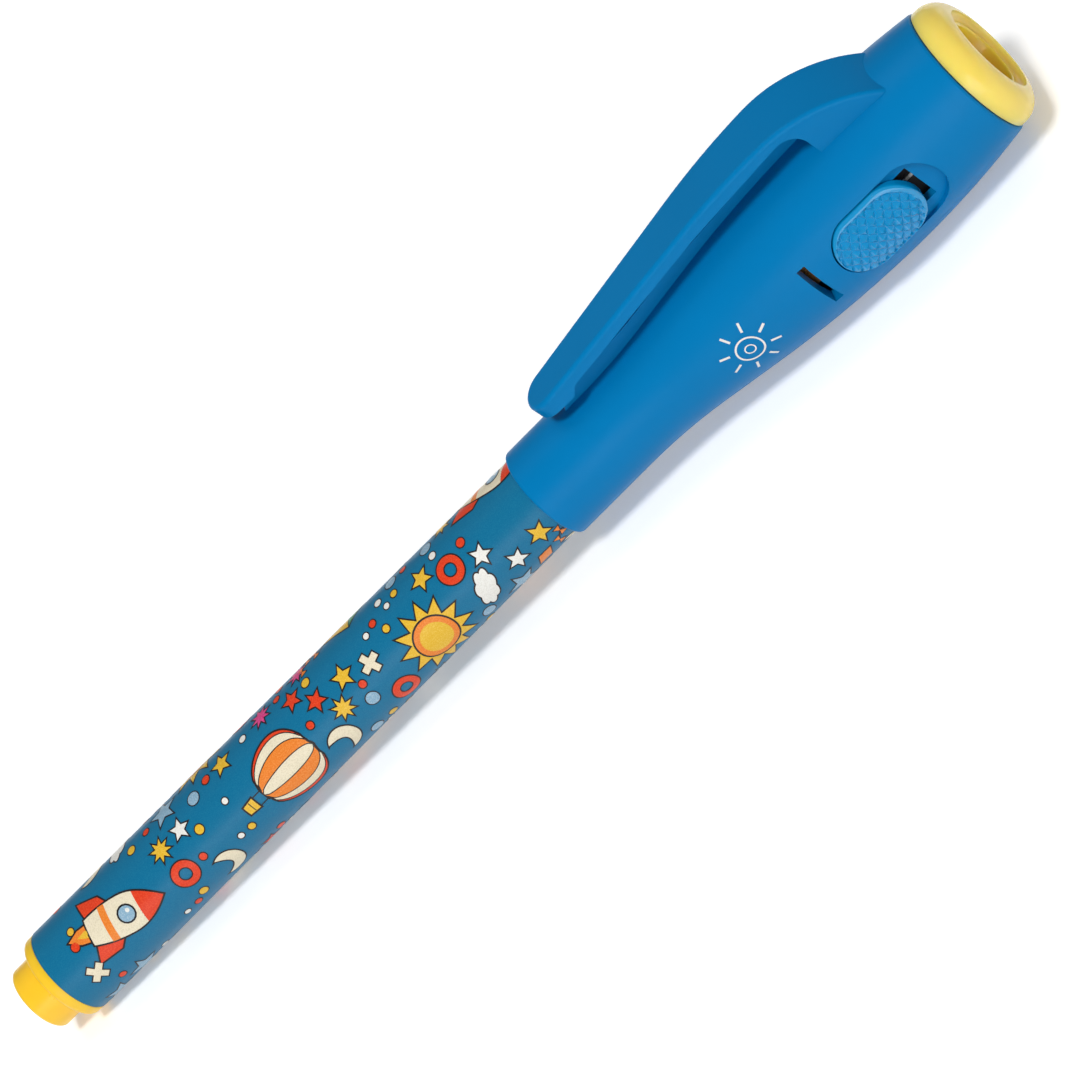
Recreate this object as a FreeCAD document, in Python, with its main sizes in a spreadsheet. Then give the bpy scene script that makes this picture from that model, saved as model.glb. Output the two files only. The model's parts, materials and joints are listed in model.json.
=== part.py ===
"""Ultraviolet invisible ink pen: a fibre-tip pen, and a cap with a clip, a lamp and a slide switch.

Lengths are in millimetres. Every piece is drawn with X measured from the pen's tail end along its
axis. Each piece is then placed so that the origin is midway along the pen, on the surface that the
cap's widest part rests on. +X points from tail to lamp, +Z towards the clip, and the switch faces -Y.
"""

import FreeCAD, Part

import math
import os

import Sketcher

NEAR = 1e-3             # how closely an edge matches the place that it is looked for at
FACING = 0.5            # how far a face turns towards a direction to count as facing it
SHARPEST_MITRE = 0.3    # cosine of half the sharpest turn of a bent strip
CELL_COUNT = 3

# --------------------------------------------------------------------------------------------------
# Driving dimensions: name, value, meaning
# --------------------------------------------------------------------------------------------------
DIMENSIONS = [
    # tail plug
    ("boss_length", 3.3, "tail boss, beyond the flange"),
    ("boss_radius", 3.85, "tail boss"),
    ("boss_round", 0.5, "rounding of the boss's end"),
    ("flange_thickness", 1.4, "tail plug flange"),
    ("flange_step", 0.05, "flange below the printed film"),
    ("flange_round", 0.6, "rounding of the flange's rear edge"),
    ("spigot_length", 8.0, "tail plug spigot inside the barrel"),
    ("spigot_wall", 1.1, "wall of the tail plug's hollow spigot"),
    # barrel and printed film
    ("barrel_length", 81.3, "barrel tube"),
    ("barrel_tail_radius", 5.08, "outside of the barrel at the flange"),
    ("barrel_front_radius", 4.67, "outside of the barrel at its front end"),
    ("barrel_wall", 0.67, "barrel wall at its thin front end"),
    ("film_thickness", 0.12, "printed film"),
    ("film_tail_margin", 0.15, "bare barrel left at the flange"),
    ("film_front_margin", 1.5, "bare barrel left at the front end"),
    # front of the pen
    ("grip_spigot_length", 8.0, "grip section inside the barrel"),
    ("collar_length", 1.2, "grip section collar against the barrel's end"),
    ("collar_step", 0.12, "collar below the barrel"),
    ("throat_length", 7.8, "straight part in front of the collar"),
    ("throat_radius", 4.1, "straight part in front of the collar"),
    ("bead_height", 0.22, "snap bead on the throat"),
    ("bead_width", 1.2, "snap bead on the throat"),
    ("cone_length", 7.5, "cone in front of the throat"),
    ("cone_base_radius", 3.6, "cone where it leaves the throat"),
    ("cone_tip_radius", 1.5, "cone where the nib leaves it"),
    ("nib_radius", 0.9, "nib"),
    ("nib_reach", 2.8, "nib in front of the cone"),
    ("nib_point_radius", 0.35, "flat of the nib's point"),
    ("nib_taper_length", 1.6, "tapered stretch of the nib's point"),
    ("nib_dip", 6.0, "nib inside the ink reservoir"),
    # ink reservoir
    ("reservoir_side_gap", 0.38, "air between the filmed reservoir and the barrel"),
    ("reservoir_film", 0.1, "film round the fibre rod"),
    ("reservoir_film_margin", 1.0, "fibre left bare at each end"),
    ("reservoir_gap", 0.2, "gap at each end of the reservoir"),
    # cap shell
    ("cap_overlap", 9.2, "barrel covered by the cap"),
    ("cap_clearance", 0.06, "cap bore round the printed film"),
    ("neck_wall", 0.55, "wall of the slim straight part"),
    ("neck_length", 10.2, "slim straight part of the cap"),
    ("flare_start", 19.7, "mouth to where the straight flare starts"),
    ("flare_end", 26.7, "mouth to where the straight flare ends"),
    ("flare_start_share", 0.22, "part of the swell reached where the flare starts"),
    ("flare_end_share", 0.548, "part of the swell reached where the flare ends"),
    ("belly_to_head", 13.9, "widest part to the lamp end"),
    ("belly_swell", 0.98, "widest part beyond the lamp end's radius"),
    ("head_wall", 1.1, "wall of the battery chamber at the lamp end"),
    ("head_depth", 8.1, "lamp's base to the lamp end"),
    ("mouth_round", 0.3, "rounding of the mouth's edge"),
    ("head_round", 0.35, "rounding of the lamp end's edge"),
    ("partition_thickness", 1.2, "wall between nib and battery chamber"),
    # clip
    ("clip_tip_to_mouth", 6.7, "mouth to the clip's tip"),
    ("clip_web_to_head", 14.1, "front wall of the web to the lamp end"),
    ("clip_bend_to_web", 14.8, "where the outer face starts to curve, to the web"),
    ("clip_tip_rise", 3.63, "outer face at the tip, above the slim part"),
    ("clip_bend_rise", 3.84, "outer face where it starts to curve, above the widest part"),
    ("clip_root_sink", 1.0, "hump's end outside the battery chamber"),
    ("clip_bow_radius", 82.0, "long curve of the outer face"),
    ("clip_hump_radius", 15.7, "curve of the hump down to the cap"),
    ("clip_thickness", 1.5, "clip arm"),
    ("clip_arch", 1.25, "underside's rise from the bend to the web"),
    ("clip_web_round", 2.2, "inside corner of arm and web"),
    ("clip_tip_width", 4.55, "arm at the tip"),
    ("clip_root_width", 7.25, "arm at the hump"),
    ("clip_top_round", 0.5, "rounding of the outer face's edges"),
    ("clip_pad_length", 5.2, "tip to where the grip pad has run out"),
    ("clip_pad_height", 0.25, "grip pad below the underside at the tip"),
    ("rail_offset", 1.5, "tip to the start of the rail that the pad presses on"),
    ("rail_height", 1.5, "rail above the cap"),
    ("rail_width", 0.55, "rail"),
    # switch well, window and tab slot
    ("well_floor_wall", 0.7, "wall between well floor and battery chamber"),
    ("well_to_tab_slot", 2.8, "middle of the tab slot to the well"),
    ("well_side_gap", 0.15, "knob to the well's wall"),
    ("knob_length", 10.5, "switch knob"),
    ("knob_width", 7.0, "switch knob"),
    ("knob_proud", 0.4, "crown of the knob above the cap's widest part"),
    ("knob_crown", 0.25, "drop of the crown at the knob's ends"),
    ("knob_round", 0.45, "rounding of the knob's edge"),
    ("knob_float", 0.12, "knob above the well's floor"),
    ("switch_travel", 2.8, "travel of the switch"),
    ("stem_offset", 2.6, "knob's tail end to its stem"),
    ("stem_length", 5.6, "stem through the window"),
    ("stem_width", 4.3, "stem through the window"),
    ("window_gap", 0.2, "stem to the window's edge"),
    ("tab_slot_width", 1.0, "pull-tab slot along the pen"),
    ("tab_slot_length", 5.8, "pull-tab slot round the cap"),
    # inner cap
    ("seal_gap", 0.2, "cup's rim to the grip section's shoulder, and round its cone"),
    ("nib_clearance", 1.1, "nib to the closed end of the cup"),
    ("inner_cap_floor", 1.0, "closed end of the cup"),
    # bezel
    ("bezel_gap", 0.12, "shadow gap between cap and bezel"),
    ("bezel_reach", 3.1, "bezel beyond the cap"),
    ("bezel_step", 0.15, "bezel below the cap"),
    ("bezel_roll", 2.5, "roll of the bezel's outer edge"),
    ("bezel_dish", 0.45, "drop from the bezel's crest to the light opening"),
    ("opening_radius", 3.8, "light opening"),
    ("funnel_gap", 0.25, "inner end of the light opening round the lamp"),
    ("bezel_spigot_length", 5.0, "bezel inside the cap"),
    ("bezel_spigot_wall", 1.1, "wall of the bezel's spigot"),
    # lamp
    ("led_radius", 2.5, "lamp body"),
    ("led_flange_radius", 2.9, "lamp flange"),
    ("led_flange_thickness", 1.0, "lamp flange"),
    ("led_height", 8.6, "lamp, base to top"),
    ("lead_thickness", 0.4, "lamp leg, stamped square"),
    ("lead_spacing", 2.54, "between the lamp's legs"),
    ("lead_bend_drop", 0.8, "lamp's base to the bend of its switch leg"),
    # cells, carrier and contacts
    ("cell_radius", 3.95, "button cell"),
    ("cell_height", 3.6, "button cell"),
    ("cell_lid_radius", 3.2, "raised lid of a button cell"),
    ("cell_lid_height", 0.35, "raised lid of a button cell"),
    ("cell_clearance", 0.08, "cell in its bore"),
    ("carrier_to_tab_slot", 1.0, "middle of the tab slot to the carrier"),
    ("carrier_web", 4.4, "carrier between the cells' bore and the lamp"),
    ("carrier_clearance", 0.08, "carrier in the battery chamber"),
    ("carrier_seat_depth", 1.2, "counterbore round the lamp's flange"),
    ("carrier_wall", 1.17, "carrier between the cells and the contact strips"),
    ("lead_hole_radius", 2.0, "hole for the lamp's legs"),
    ("strip_thickness", 0.3, "stamped contact strips"),
    ("strip_width", 3.0, "stamped contact strips"),
    ("spring_fold_height", 3.4, "axis to the fold of the battery spring"),
    ("spring_height", 4.6, "battery spring, partition to first cell"),
    ("contact_overlap", 0.8, "bridge over the arm when the switch is on"),
    ("off_gap", 1.1, "bridge to the lamp's contact when the switch is off"),
    ("bridge_width", 5.0, "moving contact across the window"),
    ("bridge_length", 5.6, "moving contact along the pen"),
    ("contact_gap", 0.15, "moving contact above the strips"),
    ("bridge_room", 0.16, "moving contact to the battery chamber's wall"),
    # fits
    ("press_gap", 0.02, "between pieces pressed together"),
    # cutters
    ("tool_margin", 2.0, "how far a cut starts outside the piece"),
]


class Size:
    """A length as a number and as the text of an expression on the sheet."""

    def __init__(self, value, text):
        self.value = value
        self.text = text

    @staticmethod
    def of(other):
        """A plain number as a size, and a size as it is."""
        return other if isinstance(other, Size) else Size(float(other), f"{other}")

    def __add__(self, other):
        other = Size.of(other)
        return Size(self.value + other.value, f"({self.text} + {other.text})")

    def __sub__(self, other):
        other = Size.of(other)
        return Size(self.value - other.value, f"({self.text} - {other.text})")

    def __mul__(self, other):
        other = Size.of(other)
        return Size(self.value * other.value, f"({self.text} * {other.text})")

    def __truediv__(self, other):
        other = Size.of(other)
        return Size(self.value / other.value, f"({self.text} / {other.text})")

    def __neg__(self):
        return Size(-self.value, f"(-{self.text})")

    def hypot(self, other):
        """The long side of a right triangle whose short sides are the two lengths."""
        text = f"sqrt({self.text} ^ 2 + {other.text} ^ 2)"
        return Size(math.hypot(self.value, other.value), text)

    def other_side(self, side):
        """The second short side of a right triangle, when this length is its long side."""
        text = f"sqrt({self.text} ^ 2 - {side.text} ^ 2)"
        return Size(math.sqrt(self.value ** 2 - side.value ** 2), text)

    def limited_by(self, wall):
        """The length, or the wall's if that is less."""
        return Size(min(self.value, wall.value), f"min({self.text}; {wall.text})")


doc = FreeCAD.newDocument("uv_invisible_ink_pen")
sheet = doc.addObject("Spreadsheet::Sheet", "Sizes")


def fill_sheet():
    """Write each driving dimension into the sheet and return the sizes by name."""
    sizes = {}
    for row, (name, value, meaning) in enumerate(DIMENSIONS, start=1):
        sheet.set(f"A{row}", str(value))
        sheet.set(f"B{row}", meaning)
        sheet.setAlias(f"A{row}", name)
        sizes[name] = Size(value, f"Sizes.{name}")
    doc.recompute()
    return sizes


S = fill_sheet()
ZERO = Size(0.0, "0")

# --------------------------------------------------------------------------------------------------
# Places that several pieces share, measured from the pen's tail end
# --------------------------------------------------------------------------------------------------
barrel_start = S["boss_length"] + S["flange_thickness"]
barrel_end = barrel_start + S["barrel_length"]
spigot_end = barrel_start + S["spigot_length"]
grip_start = barrel_end - S["grip_spigot_length"]
throat_start = barrel_end + S["collar_length"]
cone_start = throat_start + S["throat_length"]
cone_end = cone_start + S["cone_length"]
nib_end = cone_end + S["nib_reach"]

mouth = barrel_end - S["cap_overlap"]
partition_tail = nib_end + S["nib_clearance"] + S["inner_cap_floor"]
partition_head = partition_tail + S["partition_thickness"]
tab_slot = partition_head + S["spring_height"]
stack_start = tab_slot
stack_end = stack_start + S["cell_height"] * CELL_COUNT
carrier_start = tab_slot + S["carrier_to_tab_slot"]
cell_bore_end = stack_end + S["lead_thickness"]
led_base = cell_bore_end + S["carrier_web"]
carrier_end = led_base + S["carrier_seat_depth"]
cap_end = led_base + S["head_depth"]
belly = cap_end - S["belly_to_head"]
pen_length = cap_end + S["bezel_reach"]

well_start = tab_slot + S["well_to_tab_slot"]
knob_start = well_start + S["well_side_gap"]
knob_end = knob_start + S["knob_length"]
well_end = knob_end + S["switch_travel"] + S["well_side_gap"]
stem_start = knob_start + S["stem_offset"]
stem_end = stem_start + S["stem_length"]
bridge_start = stem_start + (S["stem_length"] - S["bridge_length"]) / 2
bridge_end = bridge_start + S["bridge_length"]

clip_tip = mouth + S["clip_tip_to_mouth"]
clip_web = cap_end - S["clip_web_to_head"]
clip_bend = clip_web - S["clip_bend_to_web"]

# --------------------------------------------------------------------------------------------------
# Distances from the axis that several pieces share
# --------------------------------------------------------------------------------------------------
barrel_bore = S["barrel_front_radius"] - S["barrel_wall"]
barrel_taper = (S["barrel_tail_radius"] - S["barrel_front_radius"]) / S["barrel_length"]
barrel_radius_at_mouth = S["barrel_front_radius"] + barrel_taper * S["cap_overlap"]
cap_bore = barrel_radius_at_mouth + S["film_thickness"] + S["cap_clearance"]
neck_radius = cap_bore + S["neck_wall"]

cell_bore = S["cell_radius"] + S["cell_clearance"]
carrier_flat = cell_bore + S["carrier_wall"]
bridge_inner = carrier_flat + S["strip_thickness"] + S["contact_gap"]
bridge_outer = bridge_inner + S["strip_thickness"]
chamber_radius = (bridge_outer + S["bridge_room"]).hypot(S["bridge_width"] / 2)
head_radius = chamber_radius + S["head_wall"]
belly_radius = head_radius + S["belly_swell"]

lead_offset = S["lead_spacing"] / 2
lead_bend = led_base - S["lead_bend_drop"]

well_floor = chamber_radius + S["well_floor_wall"]
knob_top = belly_radius + S["knob_proud"]
outside = knob_top + S["tool_margin"]

clip_tip_height = neck_radius + S["clip_tip_rise"]
clip_bend_height = belly_radius + S["clip_bend_rise"]
clip_root_height = chamber_radius + S["clip_root_sink"]
clip_web_top = clip_bend_height - S["clip_thickness"] + S["clip_arch"]


# --------------------------------------------------------------------------------------------------
# Helpers
# --------------------------------------------------------------------------------------------------
def new_body(label):
    """Start a body that is placed from the tail-end frame into the part's own frame."""
    body = doc.addObject("PartDesign::Body", label)
    body.Label = label
    body.setExpression("Placement.Base.x", (-(pen_length / 2)).text)
    body.setExpression("Placement.Base.z", belly_radius.text)
    return body


def new_sketch(body, name, role, offset=None):
    """Start a sketch on one of the body's own origin planes, moved along its normal by an offset."""
    plane = next(item for item in body.Origin.OriginFeatures if item.Role == role)
    sketch = body.newObject("Sketcher::SketchObject", name)
    sketch.AttachmentSupport = [(plane, "")]
    sketch.MapMode = "FlatFace"
    if offset is not None:
        sketch.setExpression("AttachmentOffset.Base.z", offset.text)
    return sketch


def add_bound(sketch, kind, *place, size):
    """Add a constraint whose value follows a size."""
    index = sketch.addConstraint(Sketcher.Constraint(kind, *place, size.value))
    sketch.setExpression(f"Constraints[{index}]", size.text)


def pin_point(sketch, geometry, vertex, x, y):
    """Hold a vertex at signed distances from the sketch's origin."""
    for kind, size in (("DistanceX", x), ("DistanceY", y)):
        if size.value < 0:
            add_bound(sketch, kind, geometry, vertex, -1, 1, size=-size)
        else:
            add_bound(sketch, kind, -1, 1, geometry, vertex, size=size)


def vector(x, y):
    """The sketch point of two sizes."""
    return FreeCAD.Vector(x.value, y.value, 0)


def arc_between(start, end, centre):
    """The arc of a circle that goes the short way from start to end, always anticlockwise in the sketch.

    Returns the arc and the numbers of its vertices at start and at end.
    """
    first = math.atan2(start.y - centre.y, start.x - centre.x)
    last = math.atan2(end.y - centre.y, end.x - centre.x)
    vertices = (1, 2)
    if (last - first) % math.tau > math.pi:
        first, last = last, first
        vertices = (2, 1)
    circle = Part.Circle(centre, FreeCAD.Vector(0, 0, 1), (start - centre).Length)
    return Part.ArcOfCircle(circle, first, first + (last - first) % math.tau), vertices


def arc_centre(start, end, along_x, place):
    """The centre of the circle through two points, when its x (along_x) or its y is known.

    The centre lies on the line that halves the chord square to it.
    """
    middle = (start + end) / 2
    chord = end - start
    if along_x:
        return FreeCAD.Vector(place, middle.y - (place - middle.x) * chord.x / chord.y, 0)
    return FreeCAD.Vector(middle.x - (place - middle.y) * chord.y / chord.x, place, 0)


def add_outline(sketch, corners, arcs=None):
    """Draw a closed outline through corners, each an (x, y) of sizes.

    arcs maps the number of a side to the place of its centre, ("x", size) or ("y", size). Other
    sides are straight.
    """
    arcs = arcs or {}
    count = len(corners)
    first = sketch.GeometryCount
    ends = []
    for side, corner in enumerate(corners):
        start = vector(*corner)
        end = vector(*corners[(side + 1) % count])
        if side in arcs:
            axis, place = arcs[side]
            curve, vertices = arc_between(start, end, arc_centre(start, end, axis == "x", place.value))
            sketch.addGeometry(curve, False)
            ends.append(vertices)
        else:
            sketch.addGeometry(Part.LineSegment(start, end), False)
            ends.append((1, 2))
    for side in range(count):
        after = (side + 1) % count
        joint = (first + side, ends[side][1], first + after, ends[after][0])
        sketch.addConstraint(Sketcher.Constraint("Coincident", *joint))
    for side, (x, y) in enumerate(corners):
        pin_point(sketch, first + side, ends[side][0], x, y)
    for side, (axis, place) in arcs.items():
        kind = "DistanceX" if axis == "x" else "DistanceY"
        if place.value < 0:
            add_bound(sketch, kind, first + side, 3, -1, 1, size=-place)
        else:
            add_bound(sketch, kind, -1, 1, first + side, 3, size=place)


def revolve(body, name, corners, arcs=None, cut=False):
    """Turn an outline, drawn as (station, radius), round the pen's axis."""
    sketch = new_sketch(body, name + "_outline", "XY_Plane")
    add_outline(sketch, corners, arcs)
    feature = body.newObject("PartDesign::Groove" if cut else "PartDesign::Revolution", name)
    feature.Profile = sketch
    feature.ReferenceAxis = (sketch, ["H_Axis"])
    feature.Angle = 360
    return feature


def extrude(body, name, sketch, length, symmetric=False, cut=False):
    """Pad or pocket a sketch by a length; symmetric spreads it to both sides of the sketch."""
    feature = body.newObject("PartDesign::Pocket" if cut else "PartDesign::Pad", name)
    feature.Profile = sketch
    feature.SideType = "Symmetric" if symmetric else "One side"
    feature.setExpression("Length", length.text)
    return feature


def rectangle(x_low, x_high, y_low, y_high):
    """The four corners of an upright rectangle."""
    return [(x_low, y_low), (x_high, y_low), (x_high, y_high), (x_low, y_high)]


def add_stadium(sketch, start, end, half_width):
    """Draw a slot with round ends along the sketch's x, centred on its x axis."""
    left = FreeCAD.Vector(start.value + half_width.value, 0, 0)
    right = FreeCAD.Vector(end.value - half_width.value, 0, 0)
    lift = FreeCAD.Vector(0, half_width.value, 0)
    up = FreeCAD.Vector(0, 0, 1)
    quarter = math.pi / 2
    sketch.addGeometry(Part.LineSegment(left - lift, right - lift), False)
    sketch.addGeometry(Part.ArcOfCircle(Part.Circle(right, up, half_width.value), -quarter, quarter), False)
    sketch.addGeometry(Part.LineSegment(right + lift, left + lift), False)
    sketch.addGeometry(Part.ArcOfCircle(Part.Circle(left, up, half_width.value), quarter, 3 * quarter), False)
    sketch.addConstraint(Sketcher.Constraint("Tangent", 0, 2, 1, 1))
    sketch.addConstraint(Sketcher.Constraint("Tangent", 1, 2, 2, 1))
    sketch.addConstraint(Sketcher.Constraint("Tangent", 2, 2, 3, 1))
    sketch.addConstraint(Sketcher.Constraint("Tangent", 3, 2, 0, 1))
    sketch.addConstraint(Sketcher.Constraint("Horizontal", 0))
    sketch.addConstraint(Sketcher.Constraint("PointOnObject", 1, 3, -1))
    sketch.addConstraint(Sketcher.Constraint("Equal", 1, 3))
    add_bound(sketch, "Radius", 1, size=half_width)
    add_bound(sketch, "DistanceX", -1, 1, 3, 3, size=start + half_width)
    add_bound(sketch, "DistanceX", -1, 1, 1, 3, size=end - half_width)


def fillet(body, name, base, radius, wanted):
    """Round the edges of the base feature that pass a test."""
    doc.recompute()
    edges = [f"Edge{i}" for i, edge in enumerate(base.Shape.Edges, start=1) if wanted(edge)]
    feature = body.newObject("PartDesign::Fillet", name)
    feature.Base = (base, edges)
    feature.setExpression("Radius", radius.text)
    return feature


def is_near(value, size):
    """Whether a measured value is that of a size."""
    return abs(value - size.value) < NEAR


def is_ring(edge, station, radius):
    """Whether an edge is the circle of a radius at a station on the pen's axis."""
    box = edge.BoundBox
    flat = is_near(box.XMin, station) and is_near(box.XMax, station)
    return flat and is_near(box.YMax, radius) and is_near(-box.YMin, radius)


def rim_test(base, direction):
    """A test that passes the edges round the faces that face a direction, for fillet."""
    doc.recompute()
    facing = []
    for face in base.Shape.Faces:
        low_u, high_u, low_v, high_v = face.ParameterRange
        normal = face.normalAt((low_u + high_u) / 2, (low_v + high_v) / 2)
        if normal.dot(direction) > FACING:
            facing.append(face)

    def on_rim(edge):
        """Whether exactly one of the faces holds the edge."""
        return sum(any(edge.isSame(side) for side in face.Edges) for face in facing) == 1

    return on_rim


def strip_outline(centre_line, thickness):
    """The corners of a strip bent along a centre line of (x, y) sizes, with mitred bends.

    Each bend's corner lies half a thickness to either side, stretched by the bend's mitre.
    """
    points = [vector(*corner) for corner in centre_line]
    count = len(points)
    near_side = []
    far_side = []
    for number, point in enumerate(points):
        before = points[max(number - 1, 0)]
        after = points[min(number + 1, count - 1)]
        run_in = (point - before).normalize() if number > 0 else (after - point).normalize()
        run_out = (after - point).normalize() if number < count - 1 else run_in
        across = FreeCAD.Vector(-(run_in.y + run_out.y), run_in.x + run_out.x, 0).normalize()
        stretch = 1 / max(across.dot(FreeCAD.Vector(-run_in.y, run_in.x, 0)), SHARPEST_MITRE)
        x, y = centre_line[number]
        step_x = thickness * round(across.x * stretch / 2, 6)
        step_y = thickness * round(across.y * stretch / 2, 6)
        near_side.append((x + step_x, y + step_y))
        far_side.append((x - step_x, y - step_y))
    return near_side + far_side[::-1]


# --------------------------------------------------------------------------------------------------
# Pen
# --------------------------------------------------------------------------------------------------
def make_tail_plug():
    """Boss and flange in one moulding, with a hollow spigot pressed into the barrel."""
    body = new_body("tail_plug")
    spigot_radius = barrel_bore - S["press_gap"]
    flange_radius = S["barrel_tail_radius"] + S["film_thickness"] - S["flange_step"]
    hollow_radius = spigot_radius - S["spigot_wall"]
    corners = [
        (ZERO, ZERO),
        (ZERO, S["boss_radius"]),
        (S["boss_length"], S["boss_radius"]),
        (S["boss_length"], flange_radius),
        (barrel_start, flange_radius),
        (barrel_start, spigot_radius),
        (spigot_end, spigot_radius),
        (spigot_end, hollow_radius),
        (barrel_start, hollow_radius),
        (barrel_start, ZERO),
    ]
    turned = revolve(body, "turned", corners)
    end_round = fillet(body, "end_round", turned, S["boss_round"],
                       lambda edge: is_ring(edge, ZERO, S["boss_radius"]))
    fillet(body, "flange_round", end_round, S["flange_round"],
           lambda edge: is_ring(edge, S["boss_length"], flange_radius))
    return body


def make_barrel():
    """Tapered tube with a straight bore."""
    body = new_body("barrel")
    corners = [
        (barrel_start, barrel_bore),
        (barrel_start, S["barrel_tail_radius"]),
        (barrel_end, S["barrel_front_radius"]),
        (barrel_end, barrel_bore),
    ]
    revolve(body, "tube", corners)
    return body


def make_printed_sleeve():
    """Thin film that follows the barrel's taper."""
    body = new_body("printed_sleeve")
    start = barrel_start + S["film_tail_margin"]
    end = barrel_end - S["film_front_margin"]
    radius_at_start = S["barrel_tail_radius"] - barrel_taper * S["film_tail_margin"]
    radius_at_end = S["barrel_front_radius"] + barrel_taper * S["film_front_margin"]
    corners = [
        (start, radius_at_start),
        (start, radius_at_start + S["film_thickness"]),
        (end, radius_at_end + S["film_thickness"]),
        (end, radius_at_end),
    ]
    revolve(body, "film", corners)
    return body


def make_grip_section():
    """Front end that closes the barrel, carries the cap's snap bead and holds the nib."""
    body = new_body("grip_section")
    bore = S["nib_radius"] + S["press_gap"]
    collar_radius = S["barrel_front_radius"] - S["collar_step"]
    bead_start = throat_start + S["throat_length"] / 2 - S["bead_width"] / 2
    bead_middle = bead_start + S["bead_width"] / 2
    corners = [
        (grip_start, bore),
        (grip_start, barrel_bore - S["press_gap"]),
        (barrel_end, barrel_bore - S["press_gap"]),
        (barrel_end, collar_radius),
        (throat_start, collar_radius),
        (throat_start, S["throat_radius"]),
        (bead_start, S["throat_radius"]),
        (bead_middle, S["throat_radius"] + S["bead_height"]),
        (bead_start + S["bead_width"], S["throat_radius"]),
        (cone_start, S["throat_radius"]),
        (cone_start, S["cone_base_radius"]),
        (cone_end, S["cone_tip_radius"]),
        (cone_end, bore),
    ]
    revolve(body, "turned", corners)
    return body


def make_nib():
    """Fibre rod from inside the reservoir to a tapered point."""
    body = new_body("nib")
    start = grip_start - S["nib_dip"]
    corners = [
        (start, ZERO),
        (start, S["nib_radius"]),
        (nib_end - S["nib_taper_length"], S["nib_radius"]),
        (nib_end, S["nib_point_radius"]),
        (nib_end, ZERO),
    ]
    revolve(body, "rod", corners)
    return body


def make_ink_reservoir():
    """Fibre rod with a blind hole for the nib, and the film round it."""
    start = spigot_end + S["reservoir_gap"]
    end = grip_start - S["reservoir_gap"]
    radius = barrel_bore - S["reservoir_side_gap"] - S["reservoir_film"]
    hole = S["nib_radius"] + S["press_gap"]
    hole_start = grip_start - S["nib_dip"] - S["press_gap"]
    body = new_body("ink_reservoir")
    corners = [
        (start, ZERO),
        (start, radius),
        (end, radius),
        (end, hole),
        (hole_start, hole),
        (hole_start, ZERO),
    ]
    revolve(body, "fibre", corners)

    film = new_body("reservoir_film")
    inner = radius + S["press_gap"]
    film_start = start + S["reservoir_film_margin"]
    film_end = end - S["reservoir_film_margin"]
    revolve(film, "film", rectangle(film_start, film_end, inner, inner + S["reservoir_film"]))
    return body, film


# --------------------------------------------------------------------------------------------------
# Cap
# --------------------------------------------------------------------------------------------------
def clip_side_sketch(body):
    """Side view of the clip: a straight arm that bows over a hump down to the cap, with a web under it.

    The outer face is a line and two arcs that run into each other. The underside is parallel to
    the line, and ends in a flat grip pad at the tip.
    """
    sketch = new_sketch(body, "clip_side", "XZ_Plane")
    tip_under = clip_tip_height - S["clip_thickness"]
    bend_under = clip_bend_height - S["clip_thickness"]
    slope = (clip_bend_height - clip_tip_height) / (clip_bend - clip_tip)
    pad_under = tip_under - S["clip_pad_height"]
    pad_end = clip_tip + S["clip_pad_length"]
    pad_end_under = tip_under + slope * S["clip_pad_length"]

    # starting places of the tangent arcs, which the constraints then hold
    angle = math.atan(slope.value)
    bow = S["clip_bow_radius"].value
    hump = S["clip_hump_radius"].value
    bend = vector(clip_bend, clip_bend_height)
    bow_centre = bend + FreeCAD.Vector(bow * math.sin(angle), -bow * math.cos(angle), 0)
    peak = bow_centre + FreeCAD.Vector(0, bow, 0)
    hump_centre = peak - FreeCAD.Vector(0, hump, 0)
    fall = clip_root_height.value - hump_centre.y
    root = hump_centre + FreeCAD.Vector(math.sqrt(hump ** 2 - fall ** 2), fall, 0)

    tip = vector(clip_tip, clip_tip_height)
    line = sketch.addGeometry(Part.LineSegment(tip, bend), False)
    bow_curve, bow_ends = arc_between(bend, peak, bow_centre)
    hump_curve, hump_ends = arc_between(peak, root, hump_centre)
    bow_arc = sketch.addGeometry(bow_curve, False)
    hump_arc = sketch.addGeometry(hump_curve, False)
    sketch.addConstraint(Sketcher.Constraint("Tangent", line, 2, bow_arc, bow_ends[0]))
    sketch.addConstraint(Sketcher.Constraint("Tangent", bow_arc, bow_ends[1], hump_arc, hump_ends[0]))
    sketch.addConstraint(Sketcher.Constraint("Vertical", bow_arc, 3, bow_arc, bow_ends[1]))
    add_bound(sketch, "Radius", bow_arc, size=S["clip_bow_radius"])
    add_bound(sketch, "Radius", hump_arc, size=S["clip_hump_radius"])
    pin_point(sketch, line, 1, clip_tip, clip_tip_height)
    pin_point(sketch, line, 2, clip_bend, clip_bend_height)
    add_bound(sketch, "DistanceY", -1, 1, hump_arc, hump_ends[1], size=clip_root_height)

    under = [
        (clip_web, clip_root_height),
        (clip_web, clip_web_top),
        (clip_bend, bend_under),
        (pad_end, pad_end_under),
        (pad_end - (pad_end_under - pad_under), pad_under),
        (clip_tip, pad_under),
    ]
    last = (hump_arc, hump_ends[1])
    before = root
    for corner in under:
        here = vector(*corner)
        index = sketch.addGeometry(Part.LineSegment(before, here), False)
        sketch.addConstraint(Sketcher.Constraint("Coincident", *last, index, 1))
        pin_point(sketch, index, 2, *corner)
        last = (index, 2)
        before = here
    index = sketch.addGeometry(Part.LineSegment(before, tip), False)
    sketch.addConstraint(Sketcher.Constraint("Coincident", *last, index, 1))
    sketch.addConstraint(Sketcher.Constraint("Coincident", index, 2, line, 1))
    return sketch


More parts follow.
